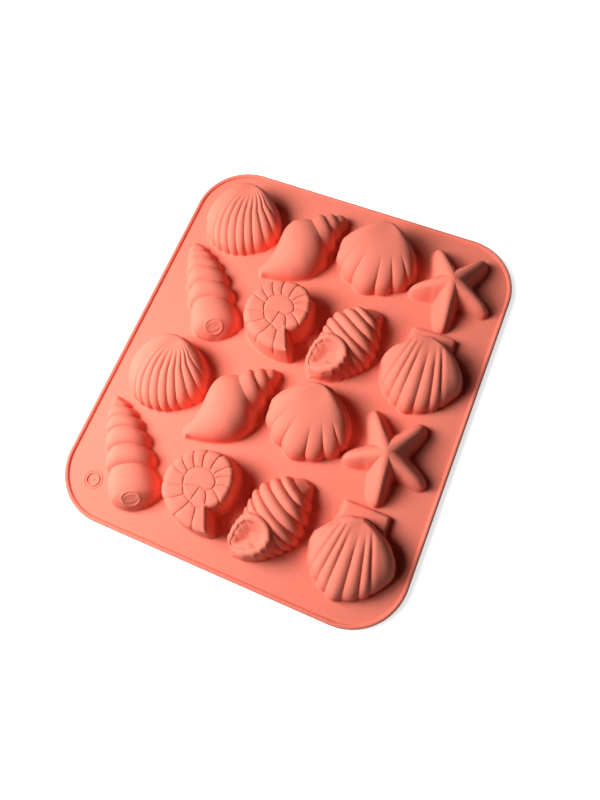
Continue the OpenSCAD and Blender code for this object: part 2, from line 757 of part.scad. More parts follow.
web();
border_bead();
cockle_cup(UPPER[0]);  // cockle_cup_upper
cockle_cup(LOWER[0]);  // cockle_cup_lower
whelk_cup(UPPER[0]);  // whelk_cup_upper
whelk_cup(LOWER[0]);  // whelk_cup_lower
fan_cup(UPPER[0]);  // fan_cup_upper
fan_cup(LOWER[0]);  // fan_cup_lower
starfish_cup(UPPER[0]);  // starfish_cup_upper
starfish_cup(LOWER[0]);  // starfish_cup_lower
auger_cup(UPPER[1]);  // auger_cup_upper
auger_cup(LOWER[1]);  // auger_cup_lower
nautilus_cup(UPPER[1]);  // nautilus_cup_upper
nautilus_cup(LOWER[1]);  // nautilus_cup_lower
turban_cup(UPPER[1]);  // turban_cup_upper
turban_cup(LOWER[1]);  // turban_cup_lower
scallop_cup(UPPER[1]);  // scallop_cup_upper
scallop_cup(LOWER[1]);  // scallop_cup_lower
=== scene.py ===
"""Looks of a flexible sea-shell mould: a silicone sheet with a rolled border and sixteen cups in relief.

Shapes are worked out in millimetres with numpy, one kind of shell at a time, and turned into closed meshes
in metres. Every shell is a thin wall: an outer skin that blends into the sheet, and an inner one that is
its cavity. Directions are in degrees. A pair of numbers that ease() takes says where a change begins and
where it is complete. Tables are read with curve(): their first column is where a row applies.
"""

import math

import bpy
import numpy as np
from mathutils import Matrix, Vector
from mathutils.geometry import tessellate_polygon


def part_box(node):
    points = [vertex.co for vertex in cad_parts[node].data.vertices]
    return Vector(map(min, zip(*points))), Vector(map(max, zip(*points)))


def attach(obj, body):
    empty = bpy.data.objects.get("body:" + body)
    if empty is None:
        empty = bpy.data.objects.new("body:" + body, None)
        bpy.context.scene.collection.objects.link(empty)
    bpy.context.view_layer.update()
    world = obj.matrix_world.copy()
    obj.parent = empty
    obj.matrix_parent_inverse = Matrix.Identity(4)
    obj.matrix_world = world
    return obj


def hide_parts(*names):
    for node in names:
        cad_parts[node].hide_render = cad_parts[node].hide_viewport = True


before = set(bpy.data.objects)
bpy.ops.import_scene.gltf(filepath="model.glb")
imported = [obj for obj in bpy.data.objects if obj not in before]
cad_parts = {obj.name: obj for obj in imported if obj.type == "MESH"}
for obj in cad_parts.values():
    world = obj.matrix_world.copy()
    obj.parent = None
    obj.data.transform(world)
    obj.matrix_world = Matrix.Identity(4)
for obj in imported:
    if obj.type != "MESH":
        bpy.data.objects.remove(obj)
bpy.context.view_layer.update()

MM = 0.001

# Sizes of the sheet, read from the frame

BORDER_LOW, BORDER_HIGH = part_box("border_bead")
SHEET_W = (BORDER_HIGH[0] - BORDER_LOW[0]) / MM
SHEET_L = (BORDER_HIGH[1] - BORDER_LOW[1]) / MM
BEAD_H = BORDER_HIGH[2] / MM
WEB_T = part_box("cockle_cup_upper")[0][2] / MM
# The upper and the lower set of shells are two rows apart
CELL_L = (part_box("nautilus_cup_upper")[0][1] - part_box("nautilus_cup_lower")[0][1]) / MM / 2
# Length of a cell over its width
CELL_SHAPE = 1.213
CELL_W = CELL_L / CELL_SHAPE

CORNER_R = 29
BEAD_W = 2.4
WALL = 1.6
# Radius of the soft corner where a cup meets the sheet
FOOT_R = 0.9
# The edge of a skin runs on this far below the top of the sheet, out of sight
SKIRT = 0.12
COLUMNS = 4
ROWS = 4
# Rows of cells that hold the upper and the lower set of shells
UPPER = (0, 1)
LOWER = (2, 3)


def spot(column, row, share):
    """Middle of a cell, moved by a share of the cell."""
    x = (column - (COLUMNS - 1) / 2 + share[0]) * CELL_W
    y = ((ROWS - 1) / 2 - row + share[1]) * CELL_L
    return np.array([x, y])


# Curves


def curve(x, table, column=1):
    """Value at place x on a smooth curve through the rows of a table."""
    t = np.array(table, float)
    k, v = t[:, 0], t[:, column]
    x = np.asarray(x, float)
    m = np.empty_like(v)
    m[1:-1] = (v[2:] - v[:-2]) / (k[2:] - k[:-2])
    m[0] = (v[1] - v[0]) / (k[1] - k[0])
    m[-1] = (v[-1] - v[-2]) / (k[-1] - k[-2])
    i = np.clip(np.searchsorted(k, x, side="right") - 1, 0, len(k) - 2)
    w = k[i + 1] - k[i]
    u = (x - k[i]) / w
    return (
        v[i] * (1 + 2 * u) * (1 - u) ** 2
        + v[i + 1] * u**2 * (3 - 2 * u)
        + w * (m[i] * u * (1 - u) ** 2 - m[i + 1] * u**2 * (1 - u))
    )


def ease(a, b, x):
    """Smooth step from 0 at a to 1 at b."""
    t = np.clip((np.asarray(x, float) - a) / (b - a), 0, 1)
    return t * t * (3 - 2 * t)


def grown(start, span, x):
    """Share that grows from a start value to 1 over a span of x."""
    return start + (1 - start) * ease(*span, x)


def bell(x, width):
    """Soft hump, 1 at zero and low beyond its width."""
    return np.exp(-((x / width) ** 2))


def ribs(u, roundness=1):
    """Ribs between grooves at whole numbers: 1 on a rib and 0 in a groove."""
    return np.abs(np.sin(math.pi * u)) ** roundness


def higher(a, b, soft):
    """The higher of two surfaces, with a soft corner between them."""
    h = np.clip(0.5 + (a - b) / (2 * soft), 0, 1)
    return b * (1 - h) + a * h + soft * h * (1 - h)


# Directions and outlines

TINY = 1e-12
# A point of an outline that moved inwards is in a fold if it lies nearer to the outline than this share
# of the inset, less a little
FOLD_SHARE = 0.95
FOLD_SLACK = 0.01
SPREAD_ROUNDS = 6


def unit(v):
    """Vectors of length 1."""
    return v / np.maximum(np.linalg.norm(v, axis=-1, keepdims=True), TINY)


def compass(angle):
    """Flat vectors of length 1 in the given directions."""
    return np.stack([np.cos(np.radians(angle)), np.sin(np.radians(angle))], axis=-1)


def turn_about(x, y, origin=(0, 0)):
    """Direction of a place from an origin."""
    return np.degrees(np.arctan2(y - origin[1], x - origin[0]))


def full_turn(angle, first):
    """The same directions, counted up from a first one."""
    return (angle - first) % 360 + first


def signed_area(loop):
    """Twice the area of a closed flat outline, and less than zero when it runs clockwise."""
    x, y = loop[:, 0], loop[:, 1]
    return np.sum(x * np.roll(y, -1) - y * np.roll(x, -1))


def apart(loop, least):
    """Which points of a closed outline lie at least so far from the point before."""
    return np.linalg.norm(loop - np.roll(loop, 1, axis=0), axis=1) > least


def smooth_loop(loop, rounds):
    """Rounds the corners of a closed outline."""
    for _ in range(rounds):
        loop = (np.roll(loop, 1, axis=0) + 2 * loop + np.roll(loop, -1, axis=0)) / 4
    return loop


def loop_normals(loop):
    """Outward normals of a closed flat outline that runs anticlockwise."""
    t = np.roll(loop, -1, axis=0) - np.roll(loop, 1, axis=0)
    return unit(np.stack([t[:, 1], -t[:, 0]], axis=1))


def without_folds(moved, loop, inset):
    """An outline moved inwards, whose points in a folded corner go onto the line across it."""
    gap = np.linalg.norm(moved[:, None] - loop[None], axis=2).min(axis=1)
    good = gap > FOLD_SHARE * inset - FOLD_SLACK
    k = np.arange(len(loop))
    return np.stack([np.interp(k, k[good], moved[good, i], period=len(loop)) for i in (0, 1)], axis=1)


def spread(loop):
    """Steps from an anticlockwise outline to the outer line of its soft foot, without folds in corners."""
    wide = loop + loop_normals(loop) * FOOT_R
    return (smooth_loop(wide, SPREAD_ROUNDS) - loop) / FOOT_R


# Grids of points: rows run down from a crown or along a shell, columns run round or across it

# Below this turn from its crown the rings of a dome close up towards its foot
STEEP = 80
FOOT_RINGS = 9


def ring_shares(power, rings):
    """Shares of the reach of a dome at its rings, from the crown to the foot."""
    upper = np.linspace(0, 1, rings + 1)[:-1] * math.radians(STEEP)
    close = 1 - (1 - np.linspace(0, 1, FOOT_RINGS + 1)) ** 2
    lower = math.radians(STEEP) + math.radians(90 - STEEP) * close
    return np.abs(np.sin(np.concatenate([upper, lower]))) ** (2 / power)


def normals(grid, ring):
    """Outward normals of a grid of points; ring says that its columns close."""
    down = np.gradient(grid, axis=0)
    if ring:
        along = (np.roll(grid, -1, axis=1) - np.roll(grid, 1, axis=1)) / 2
    else:
        along = np.gradient(grid, axis=1)
    n = unit(np.cross(down, along))
    return n * np.where(n[..., 2:].mean() < 0, -1, 1)


def with_foot(grid, outward):
    """Moves the lowest part of a wall outwards, so that it runs into the sheet in a soft corner."""
    z = np.clip(grid[..., 2], 0, FOOT_R)
    out = FOOT_R - np.sqrt(np.maximum(FOOT_R**2 - (FOOT_R - z) ** 2, 0))
    grid[..., :2] += outward * out[..., None]
    return grid


# Meshes


def make_mesh(name, node, points, faces):
    """A smooth mesh at its place, from points in millimetres."""
    mesh = bpy.data.meshes.new(name)
    mesh.from_pydata((np.asarray(points) * MM).tolist(), [], faces)
    mesh.validate()
    mesh.shade_smooth()
    piece = bpy.data.objects.new(name, mesh)
    bpy.context.scene.collection.objects.link(piece)
    piece.data.materials.append(silicone())
    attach(piece, "root")
    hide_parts(node)
    return piece


def quads(rows, columns, start, ring, flip=False):
    """Faces of a grid of points that starts at a number."""
    faces = []
    for i in range(rows - 1):
        for j in range(columns if ring else columns - 1):
            a = start + i * columns + j
            b = start + i * columns + (j + 1) % columns
            face = (a, a + columns, b + columns, b)
            faces.append(face[::-1] if flip else face)
    return faces


def rim(points, faces, outer, inner):
    """Joins the edge of an outer and an inner skin below the top of the sheet."""
    n = len(outer)
    loop = points[outer]
    out = loop_normals(loop[:, :2])
    low_outer = loop.copy()
    low_outer[:, :2] += out * 2 * SKIRT
    low_outer[:, 2] -= SKIRT
    low_inner = points[inner].copy()
    low_inner[:, :2] += out * SKIRT / 2
    low_inner[:, 2] -= SKIRT
    a = len(points)
    b = a + n
    for j in range(n):
        k = (j + 1) % n
        faces.append((outer[j], a + j, a + k, outer[k]))
        faces.append((a + j, b + j, b + k, a + k))
        faces.append((b + j, inner[j], inner[k], b + k))
    return np.vstack([points, low_outer, low_inner]), faces


def bowl(outer, inner):
    """Closed shell of two grids of rings, each from its crown, a ring of one point, down to the foot."""
    columns = outer.shape[1]
    points = np.empty((0, 3))
    faces = []
    edges = []
    for grid, flip in ((outer, False), (inner, True)):
        start = len(points)
        points = np.vstack([points, grid[0, :1], grid[1:].reshape(-1, 3)])
        for j in range(columns):
            face = (start, start + 1 + j, start + 1 + (j + 1) % columns)
            faces.append(face[::-1] if flip else face)
        faces += quads(len(grid) - 1, columns, start + 1, True, flip)
        edges.append(list(range(len(points) - columns, len(points))))
    return rim(points, faces, *edges)


def edge_loop(rows, columns):
    """Numbers of the points round the edge of a grid."""
    first = list(range(columns))
    right = [i * columns + columns - 1 for i in range(1, rows)]
    last = [(rows - 1) * columns + j for j in range(columns - 2, -1, -1)]
    left = [i * columns for i in range(rows - 2, 0, -1)]
    return first + right + last + left


def vault(outer, inner):
    """Closed shell of two grids of arches."""
    rows, columns = outer.shape[:2]
    points = np.vstack([outer.reshape(-1, 3), inner.reshape(-1, 3)])
    n = rows * columns
    faces = quads(rows, columns, 0, False, True) + quads(rows, columns, n, False)
    loop = edge_loop(rows, columns)
    if signed_area(points[loop, :2]) < 0:
        loop = loop[::-1]
    return rim(points, faces, loop, [n + k for k in loop])


# Materials

SILICONE = {
    "Roughness": 0.5, "Specular IOR Level": 0.12, "Subsurface Weight": 0.8,
    "Subsurface Radius": (1.0, 0.12, 0.06), "Subsurface Scale": 0.005,
}
# Faint clouds between two tones: where each tone is reached, and its colour
CLOUD = {"Scale": 14, "Detail": 2}
TONES = [(0.3, (0.8, 0.165, 0.097, 1)), (0.7, (0.83, 0.18, 0.106, 1))]
# Fine grain of the moulded surface
GRAIN = {"Scale": 900, "Detail": 3}
GRAIN_BUMP = {"Strength": 0.12, "Distance": 0.0002}


def fill(node, values):
    """Sets inputs of a node by their names."""
    for name, value in values.items():
        node.inputs[name].default_value = value


def silicone():
    """Matt, slightly translucent moulded silicone."""
    if "silicone" in bpy.data.materials:
        return bpy.data.materials["silicone"]
    material = bpy.data.materials.new("silicone")
    material.use_nodes = True
    nodes, links = material.node_tree.nodes, material.node_tree.links
    shader = nodes["Principled BSDF"]
    place = nodes.new("ShaderNodeTexCoord")
    cloud = nodes.new("ShaderNodeTexNoise")
    tone = nodes.new("ShaderNodeValToRGB")
    grain = nodes.new("ShaderNodeTexNoise")
    bump = nodes.new("ShaderNodeBump")
    fill(shader, SILICONE)
    fill(cloud, CLOUD)
    fill(grain, GRAIN)
    fill(bump, GRAIN_BUMP)
    for stop, (position, color) in zip(tone.color_ramp.elements, TONES):
        stop.position = position
        stop.color = color
    links.new(place.outputs["Object"], cloud.inputs["Vector"])
    links.new(cloud.outputs["Fac"], tone.inputs["Fac"])
    links.new(tone.outputs["Color"], shader.inputs["Base Color"])
    links.new(place.outputs["Object"], grain.inputs["Vector"])
    links.new(grain.outputs["Fac"], bump.inputs["Height"])
    links.new(bump.outputs["Normal"], shader.inputs["Normal"])
    return material


# Shells of rings: fans, starfish and nautilus

OUTER_RINGS = 46


def ring_shell(outer, outward, inner):
    """Closed shell of an outer and an inner grid of rings, and the line round its mouth."""
    return bowl(with_foot(outer, outward), inner), inner[-1, :, :2]


# Fan shells: domes whose rays spread from a beak

RAYS = 400
FAN_INNER_RINGS = 20
# Places round the beak at which the reach is summed up, and the least weight of each
FINE_RAYS = 2881
RAY_WEIGHT = 0.12
# The crest lies in this direction, and is full over a broad front: the cosine of the turn from it
CREST_TURN = -92
CREST_FRONT = (-0.4, 0.8)
CREST_RISE = (-0.15, 1)
# The relief starts this share of the way from the beak to the outline
RELIEF_START = (0, 0.04)
# A low ledge shows where the dome ends short of the outline by this much
LEDGE_FREE = (0.2, 1.2)
LEDGE_POWER = 14
LEDGE_ROUND = 0.4
LEDGE_SOFT = 0.35
# It has no relief, nor has the dome where it stands less than this above it
LEDGE_CLEAR = 0.6


def fan_rays(table):
    """Directions round the beak, denser where the outline is far away, and the table closed to a turn."""
    first = table[0]
    closed = table + [[first[0] + 360] + first[1:]]
    fine = np.linspace(first[0], first[0] + 360, FINE_RAYS)
    reach = curve(fine, closed)
    weight = np.concatenate([[0], np.cumsum((reach[1:] + reach[:-1]) / 2 + RAY_WEIGHT)])
    return np.interp(np.linspace(0, weight[-1], RAYS + 1)[:-1], weight, fine), closed


def fan_grid(kind, rings, inset):
    """Skin of a fan shell at an inset, with its smooth form moved out by the relief of its ribs."""
    angle, table = fan_rays(kind["reach"])
    loop = compass(angle) * (kind["length"] * curve(angle, table))[:, None]
    loop = loop - loop_normals(loop) * inset
    reach = np.linalg.norm(loop, axis=1)
    dome_reach = reach
    if len(table[0]) > 2:
        dome_reach = reach * np.minimum(curve(angle, table, 2) / curve(angle, table), 1)
    power, beak = kind["power"], kind["beak"]
    s = ring_shares(power, rings)[:, None]
    d = np.minimum(1, s * reach / dome_reach)
    crest = grown(beak, CREST_FRONT, np.cos(np.radians(angle - CREST_TURN)))
    rise = beak + (crest - beak) * ease(*CREST_RISE, d / kind["place"])
    z = (kind["height"] - inset) * rise * (1 - d**power) ** (1 / power)
    grid = np.empty((len(s), RAYS, 3))
    grid[..., :2] = s[..., None] * loop
    grid[..., 2] = z
    lift = kind["relief"](grid[..., 0], grid[..., 1], d) * ease(*RELIEF_START, s)
    if "ledge" in kind:
        ledge = (kind["ledge"] - inset) * (1 - s**LEDGE_POWER) ** LEDGE_ROUND
        free = ease(*LEDGE_FREE, reach - dome_reach)
        lift = lift * (1 - free * (z < ledge + LEDGE_CLEAR))
        grid[..., 2] += (higher(z, ledge * free, LEDGE_SOFT) * (s < 1) - z) * free
    grid += normals(grid, True) * lift[..., None]
    grid[..., 2] = np.maximum(grid[..., 2], 0)
    grid[0] = grid[0].mean(axis=0)
    grid[-1, :, 2] = 0
    return grid, spread(loop)


def fan_shell(kind):
    """Shell and mouth of a fan shell."""
    outer, outward = fan_grid(kind, OUTER_RINGS, 0)
    inner, _ = fan_grid(kind, FAN_INNER_RINGS, WALL)
    return ring_shell(outer, outward, inner)


def between(angle, grooves):
    """Count of grooves passed in a direction, and whether it lies between the first and the last rib."""
    u = np.interp(angle, grooves, np.arange(len(grooves)))
    return u, (u > 0.5) & (u < len(grooves) - 1.5)


COCKLE_PLACE = (-0.014, 0.357)
# Direction of a groove that runs straight, and degrees from groove to groove
COCKLE_STRAIGHT = -67
COCKLE_STEP = 11.6
# Up to half way the ribs stand further apart, about this direction
COCKLE_SPREAD = -85
COCKLE_SPREAD_SHARE = 1.2
# From half way on, the ribs on the left of the straight groove draw together
HALF_WAY = 0.5
COCKLE_DRAW = 0.7
# Directions in which the ribs begin and end, and the shares of the reach over which they begin
COCKLE_FIRST = (-164, -156)
COCKLE_LAST = (-42, -24)
COCKLE_START = (0.12, 0.45)
COCKLE_RIB = 0.95
COCKLE_ROUND = 0.7
COCKLE_CUT = 0.7
# The left flank has weak ribs, which are full again at the lip
COCKLE_FLANK = (-126, -106)
COCKLE_WEAK = 0.08
COCKLE_LIP = (0.8, 0.97)


def cockle_relief(x, y, share):
    """Fine bent ribs that start at the beak and are weaker on the left flank, except at the lip."""
    angle = turn_about(x, y)
    wide = 1 + COCKLE_SPREAD_SHARE * np.clip(HALF_WAY - share, 0, 1)
    angle = COCKLE_SPREAD + (angle - COCKLE_SPREAD) / wide
    draw = 1 - COCKLE_DRAW * np.clip(share - HALF_WAY, 0, 1) * (angle < COCKLE_STRAIGHT)
    wave = ribs((angle - COCKLE_STRAIGHT) / (COCKLE_STEP * draw), COCKLE_ROUND) - COCKLE_CUT
    inside = ease(*COCKLE_FIRST, angle) * (1 - ease(*COCKLE_LAST, angle))
    flank = ease(*COCKLE_FLANK, angle)
    strong = flank + (1 - flank) * grown(COCKLE_WEAK, COCKLE_LIP, share)
    return COCKLE_RIB * wave * inside * ease(*COCKLE_START, share) * strong


# A fan shell's place is the share of the reach at which the dome has risen to its crest. Its table gives
# the reach by direction: of the outline and, where there is a ledge, of the dome
COCKLE = {
    "length": 36.5, "height": 15.5, "beak": 0.92, "place": 0.45, "power": 2.6, "relief": cockle_relief,
    "reach": [
        [-185, 0.3], [-166, 0.45], [-147, 0.65], [-137, 0.77], [-126, 0.88], [-113, 0.98], [-101, 1.02],
        [-82, 1], [-72, 0.96], [-56, 0.9], [-37, 0.77], [-20, 0.55], [-8, 0.39], [16, 0.2], [50, 0.11],
        [90, 0.08], [148, 0.16],
    ],
}

FAN_PLACE = (-0.029, 0.398)
FAN_GROOVES = [-160, -141, -123, -106, -82, -66.5, -51, -36]
FAN_GROOVE = 1.4
FAN_ROUND = 0.45
FAN_START = (0.5, 0.88)
# The lobes are rounder at the lip
FAN_LIP = (0.8, 1)
FAN_LIP_SHARE = 0.5
# The grooves on the left flank are weaker
FAN_FLANK = (-125, -108)
FAN_WEAK = 0.6


def fan_relief(x, y, share):
    """Narrow grooves that part the lower half into broad lobes."""
    angle = turn_about(x, y)
    u, inside = between(angle, FAN_GROOVES)
    wave = ribs(u, FAN_ROUND) - 1 + FAN_LIP_SHARE * (ribs(u) - 1) * ease(*FAN_LIP, share)
    return FAN_GROOVE * wave * inside * ease(*FAN_START, share) * grown(FAN_WEAK, FAN_FLANK, angle)


FAN = {
    "length": 37, "height": 16.5, "beak": 0.96, "place": 0.42, "power": 2.8, "relief": fan_relief,
    "ledge": 10.5,
    "reach": [
        [-193, 0.25, 0.2], [-169, 0.43, 0.36], [-155, 0.63, 0.58], [-146, 0.76, 0.74], [-133, 0.86, 0.86],
        [-123, 0.9, 0.9], [-106, 0.96, 0.96], [-92, 1, 1], [-72, 0.94, 0.94], [-60, 0.91, 0.91],
        [-50, 0.88, 0.88], [-41, 0.79, 0.78], [-32, 0.67, 0.64], [-18, 0.46, 0.4], [7, 0.22, 0.18],
        [50, 0.13, 0.1], [90, 0.1, 0.065], [140, 0.15, 0.11],
    ],
}

SCALLOP_PLACE = (0.021, 0.283)
# The grooves spread from a place behind the beak
SCALLOP_SOURCE = (-2, 21)
SCALLOP_GROOVES = [-126, -119, -112, -105.5, -99.2, -93.4, -84.6, -76.8, -71, -63]
SCALLOP_RIB = 1.2
SCALLOP_ROUND = 0.7
SCALLOP_CUT = 0.75
# Height of the plain sides beside the ribs
SCALLOP_PLAIN = 0.25
# Shares of the reach, and distances in front of the beak, over which the ribs begin
SCALLOP_START = (0.1, 0.5)
SCALLOP_FRONT = (1, 5)
# The ribs on the left flank are weaker
SCALLOP_FLANK = (-112, -97)
SCALLOP_WEAK = 0.45


def scallop_relief(x, y, share):
    """Strong ribs that spread from behind the beak, weaker on the left."""
    angle = turn_about(x, y, SCALLOP_SOURCE)
    u, inside = between(angle, SCALLOP_GROOVES)
    wave = np.where(inside, ribs(u, SCALLOP_ROUND) - SCALLOP_CUT, SCALLOP_PLAIN)
    start = ease(*SCALLOP_START, share) * ease(*SCALLOP_FRONT, -y)
    return SCALLOP_RIB * wave * start * grown(SCALLOP_WEAK, SCALLOP_FLANK, angle)


SCALLOP = {
    "length": 37, "height": 15.5, "beak": 0.93, "place": 0.45, "power": 2.6, "relief": scallop_relief,
    "ledge": 4.5,
    "reach": [
        [-192, 0.33, 0.24], [-180, 0.34, 0.31], [-161, 0.45, 0.45], [-152, 0.62, 0.62], [-145, 0.69, 0.69],
        [-138, 0.73, 0.73], [-129, 0.8, 0.8], [-118, 0.87, 0.87], [-108, 0.92, 0.92], [-92, 1, 1],
        [-84, 0.97, 0.97], [-74, 0.93, 0.93], [-63, 0.88, 0.88], [-52, 0.81, 0.81], [-38, 0.75, 0.75],
        [-30, 0.67, 0.67], [-19, 0.52, 0.5], [-5, 0.35, 0.31], [4, 0.33, 0.22], [16, 0.34, 0.17],
        [30, 0.37, 0.13], [37, 0.39, 0.12], [43, 0.36, 0.11], [55, 0.3, 0.1], [72, 0.262, 0.1],
        [90, 0.25, 0.1], [108, 0.262, 0.1], [125, 0.3, 0.11], [137, 0.36, 0.12], [143, 0.39, 0.13],
        [150, 0.365, 0.15], [160, 0.34, 0.19],
    ],
}


# Starfish

STAR_PLACE = (-0.005, 0.013)
STAR_ARM = 24
STAR_H = 16
# Direction of each arm and its length beside the named one; the last arm is the first, one turn on
STAR_ARMS = np.array([(-81, 1.06), (-19, 1.02), (59, 1.07), (124, 1.03), (203.4, 0.9), (279, 1.06)])
# Outline of an even arm: its reach by degrees from its middle, up to the notch beside it
STAR_HALF = 36
STAR_REACH = [[0, 1], [5, 0.99], [9, 0.95], [13, 0.87], [19, 0.73], [27, 0.57], [36, 0.49]]
STAR_RAYS = 400
STAR_INNER_RINGS = 24
STAR_ROUNDS = 10
STAR_POWER = 2.4
# Between the arms the half width goes on growing towards the middle, by this share of the way
STAR_WAIST = 0.27
# How far the ridge falls to the tip of an arm
STAR_FALL = 0.56
STAR_FALL_POWER = 1.15
# Section across an arm, whose top is softened, and the round end of the arms
STAR_SOFT = 0.4
STAR_SIDE_POWER = 1.25
STAR_SIDE_ROUND = 0.85
STAR_END_POWER = 9
STAR_END_ROUND = 0.5
LEAST_HALF = 0.05


def arm_widths(side_of, edge_along, edge_across, along):
    """Half width of the arms at places along them, from the outline itself, and where each arm ends."""
    half = np.empty_like(along)
    tip = np.empty(STAR_RAYS)
    for side in np.unique(side_of):
        mine = side_of == side
        order = np.argsort(edge_along[mine])
        far, wide = edge_along[mine][order], edge_across[mine][order]
        inner = wide[0] + (far[0] - along[:, mine]) * STAR_WAIST
        half[:, mine] = np.where(along[:, mine] < far[0], inner, np.interp(along[:, mine], far, wide))
        tip[mine] = far[-1]
    return half, tip


def star_grid(inset, rings):
    """Five blunt, uneven arms with a rounded ridge along each."""
    angle = np.linspace(STAR_ARMS[0, 0], STAR_ARMS[-1, 0], STAR_RAYS, endpoint=False)
    arm = np.clip(np.searchsorted(STAR_ARMS[:, 0], angle, side="right") - 1, 0, len(STAR_ARMS) - 2)
    gap = STAR_ARMS[arm + 1, 0] - STAR_ARMS[arm, 0]
    u = (angle - STAR_ARMS[arm, 0]) / gap
    aside = np.minimum(u, 1 - u)
    longer = (STAR_ARMS[arm + 1, 1] - STAR_ARMS[arm, 1]) * ease(0, 1, u)
    length = STAR_ARM * (STAR_ARMS[arm, 1] + longer)
    loop = compass(angle) * (length * curve(2 * STAR_HALF * aside, STAR_REACH))[:, None]
    loop = smooth_loop(loop, STAR_ROUNDS)
    loop = loop - loop_normals(loop) * inset
    s = ring_shares(STAR_POWER, rings)[:, None]
    off = np.radians(gap * aside)
    edge_along = np.linalg.norm(loop, axis=1) * np.cos(off)
    edge_across = np.linalg.norm(loop, axis=1) * np.sin(off)
    along = s * edge_along
    half, tip = arm_widths(2 * arm + (u >= 0.5), edge_along, edge_across, along)
    ridge = (STAR_H - inset) * (1 - STAR_FALL * (along / tip) ** STAR_FALL_POWER)
    side = np.clip(s * edge_across / np.maximum(half, LEAST_HALF), 0, 1)
    side = (np.sqrt(side**2 + STAR_SOFT**2) - STAR_SOFT) / (math.sqrt(1 + STAR_SOFT**2) - STAR_SOFT)
    section = np.maximum(1 - side**STAR_SIDE_POWER, 0) ** STAR_SIDE_ROUND
    grid = np.empty((len(s), STAR_RAYS, 3))
    grid[..., :2] = s[..., None] * loop
    grid[..., 2] = ridge * section * (1 - s**STAR_END_POWER) ** STAR_END_ROUND
    return grid, spread(loop)


def starfish():
    """Shell and mouth of the starfish."""
    outer, outward = star_grid(0, OUTER_RINGS)
    inner, _ = star_grid(WALL, STAR_INNER_RINGS)
    return ring_shell(outer, outward, inner)


# Nautilus

COIL_PLACE = (0.041, 0.05)
COIL_R = 18
COIL_H = 15.8
# How far the wall leans out, by its height
COIL_DRAFT = 0.11
# Reach of the upper edge by angle, from the notch beside the mouth round to its outer corner, and the
# radius of that edge
COIL_REACH = [
    [-46, 0.73, 1.6], [-36, 0.82, 2.5], [-21, 0.89, 2.6], [-4, 0.91, 2.6], [18, 0.967, 2.6],
    [37, 1.02, 2.6], [52, 1.035, 2.7], [68, 1.01, 3], [85, 0.955, 3.2], [104, 0.91, 3.2], [122, 0.9, 3.4],
    [143, 0.9, 3.6], [166, 0.915, 3.8], [188, 0.96, 4], [210, 1.01, 4.2], [226, 1.04, 4.6],
    [251, 1.08, 5], [276, 1.18, 5], [295, 1.3, 3.5], [305, 1.38, 1.6],
]
# Ring round the flat middle by angle: it winds out from its start there, and on under the last chambers
COIL_RING = [
    [-34, 2.9], [-22, 5.7], [-3, 8.2], [17, 9], [40, 8.6], [70, 7.9], [103, 7], [141, 7], [175, 6.8],
    [218, 6.9], [248, 8.4], [276, 9.6], [293, 12.2], [303, 12.8],
]
# Grooves from the ring to the edge, each from a point to a point, and the bow of their middles
COIL_GROOVES = [
    ((-7.2, 0.9), (-16, 4.4)), ((-5.6, 3.1), (-13, 9.5)), ((-3.5, 5.5), (-8.3, 14.6)),
    ((-0.4, 7), (-1.8, 16.8)), ((3.7, 7), (5.9, 16.6)), ((6.1, 6.3), (14.4, 13.8)),
    ((7.6, 4.7), (16.6, 8.5)), ((7.7, 0.7), (16.1, 3.2)), ((8.1, -0.2), (16, -7.1)),
    ((5.3, -2.1), (8.1, -9.1)), ((-5.6, -4.1), (-17.4, -5.8)), ((-3.2, -7.7), (-13.2, -13.9)),
    ((0.9, -9.4), (-5.8, -20.8)), ((4.8, -11.5), (6.2, -28)),
]
COIL_BOW = 0.7
# They begin at the ring
COIL_OUTSIDE = (-0.4, 0)
# Straight, fainter lines inside the ring, from its start
COIL_START = (2.4, -1.6)
COIL_LINES = [(COIL_START, (-5.3, -3.7)), (COIL_START, (0.9, -9.4))]
COIL_LINE_SHARE = 0.8
# Depth and width of the thin groove along every line, and of the soft hollow round it
COIL_GROOVE = 0.6
COIL_GROOVE_W = 0.3
COIL_HOLLOW = 0.26
COIL_HOLLOW_W = 1.5
# Shares of the height over which the grooves begin
COIL_RELIEF = (0.25, 0.65)
COIL_POINTS = 360
COIL_MOUTH_POINTS = 40
COIL_RING_POINTS = 120
COIL_ROUNDS = 8
# Rings of the outer and of the inner skin from the middle of the top to a share of its reach, with as
# many again from there to its edge, and rings of the wall down to its foot and of the foot
COIL_RINGS = 44
COIL_INNER_RINGS = 14
COIL_SPLIT = 0.68
WALL_RINGS = 8
COIL_FOOT = 0.15
COIL_FOOT_RINGS = 7
LEAST_EDGE = 0.4


def coil_loop(inset):
    """Outline of the upper edge and the radius of that edge at each point."""
    around = np.linspace(COIL_REACH[0][0], COIL_REACH[-1][0], COIL_POINTS)
    loop = compass(around) * (COIL_R * curve(around, COIL_REACH))[:, None]
    across = np.linspace(0, 1, COIL_MOUTH_POINTS + 2)[1:-1, None]
    mouth = loop[-1] + across * (loop[0] - loop[-1])
    edge = np.concatenate([curve(around, COIL_REACH, 2), np.full(len(mouth), COIL_REACH[0][2])])
    loop = smooth_loop(np.vstack([loop, mouth]), COIL_ROUNDS)
    return without_folds(loop - loop_normals(loop) * inset, loop, inset), edge


def path_distance(x, y, path):
    """Distance of points from a line through the points of a path."""
    best = np.full(x.shape, np.inf)
    for start, step in zip(path[:-1], np.diff(path, axis=0)):
        dx, dy = x - start[0], y - start[1]
        t = np.clip((dx * step[0] + dy * step[1]) / (step @ step), 0, 1)
        best = np.minimum(best, np.hypot(dx - t * step[0], dy - t * step[1]))
    return best


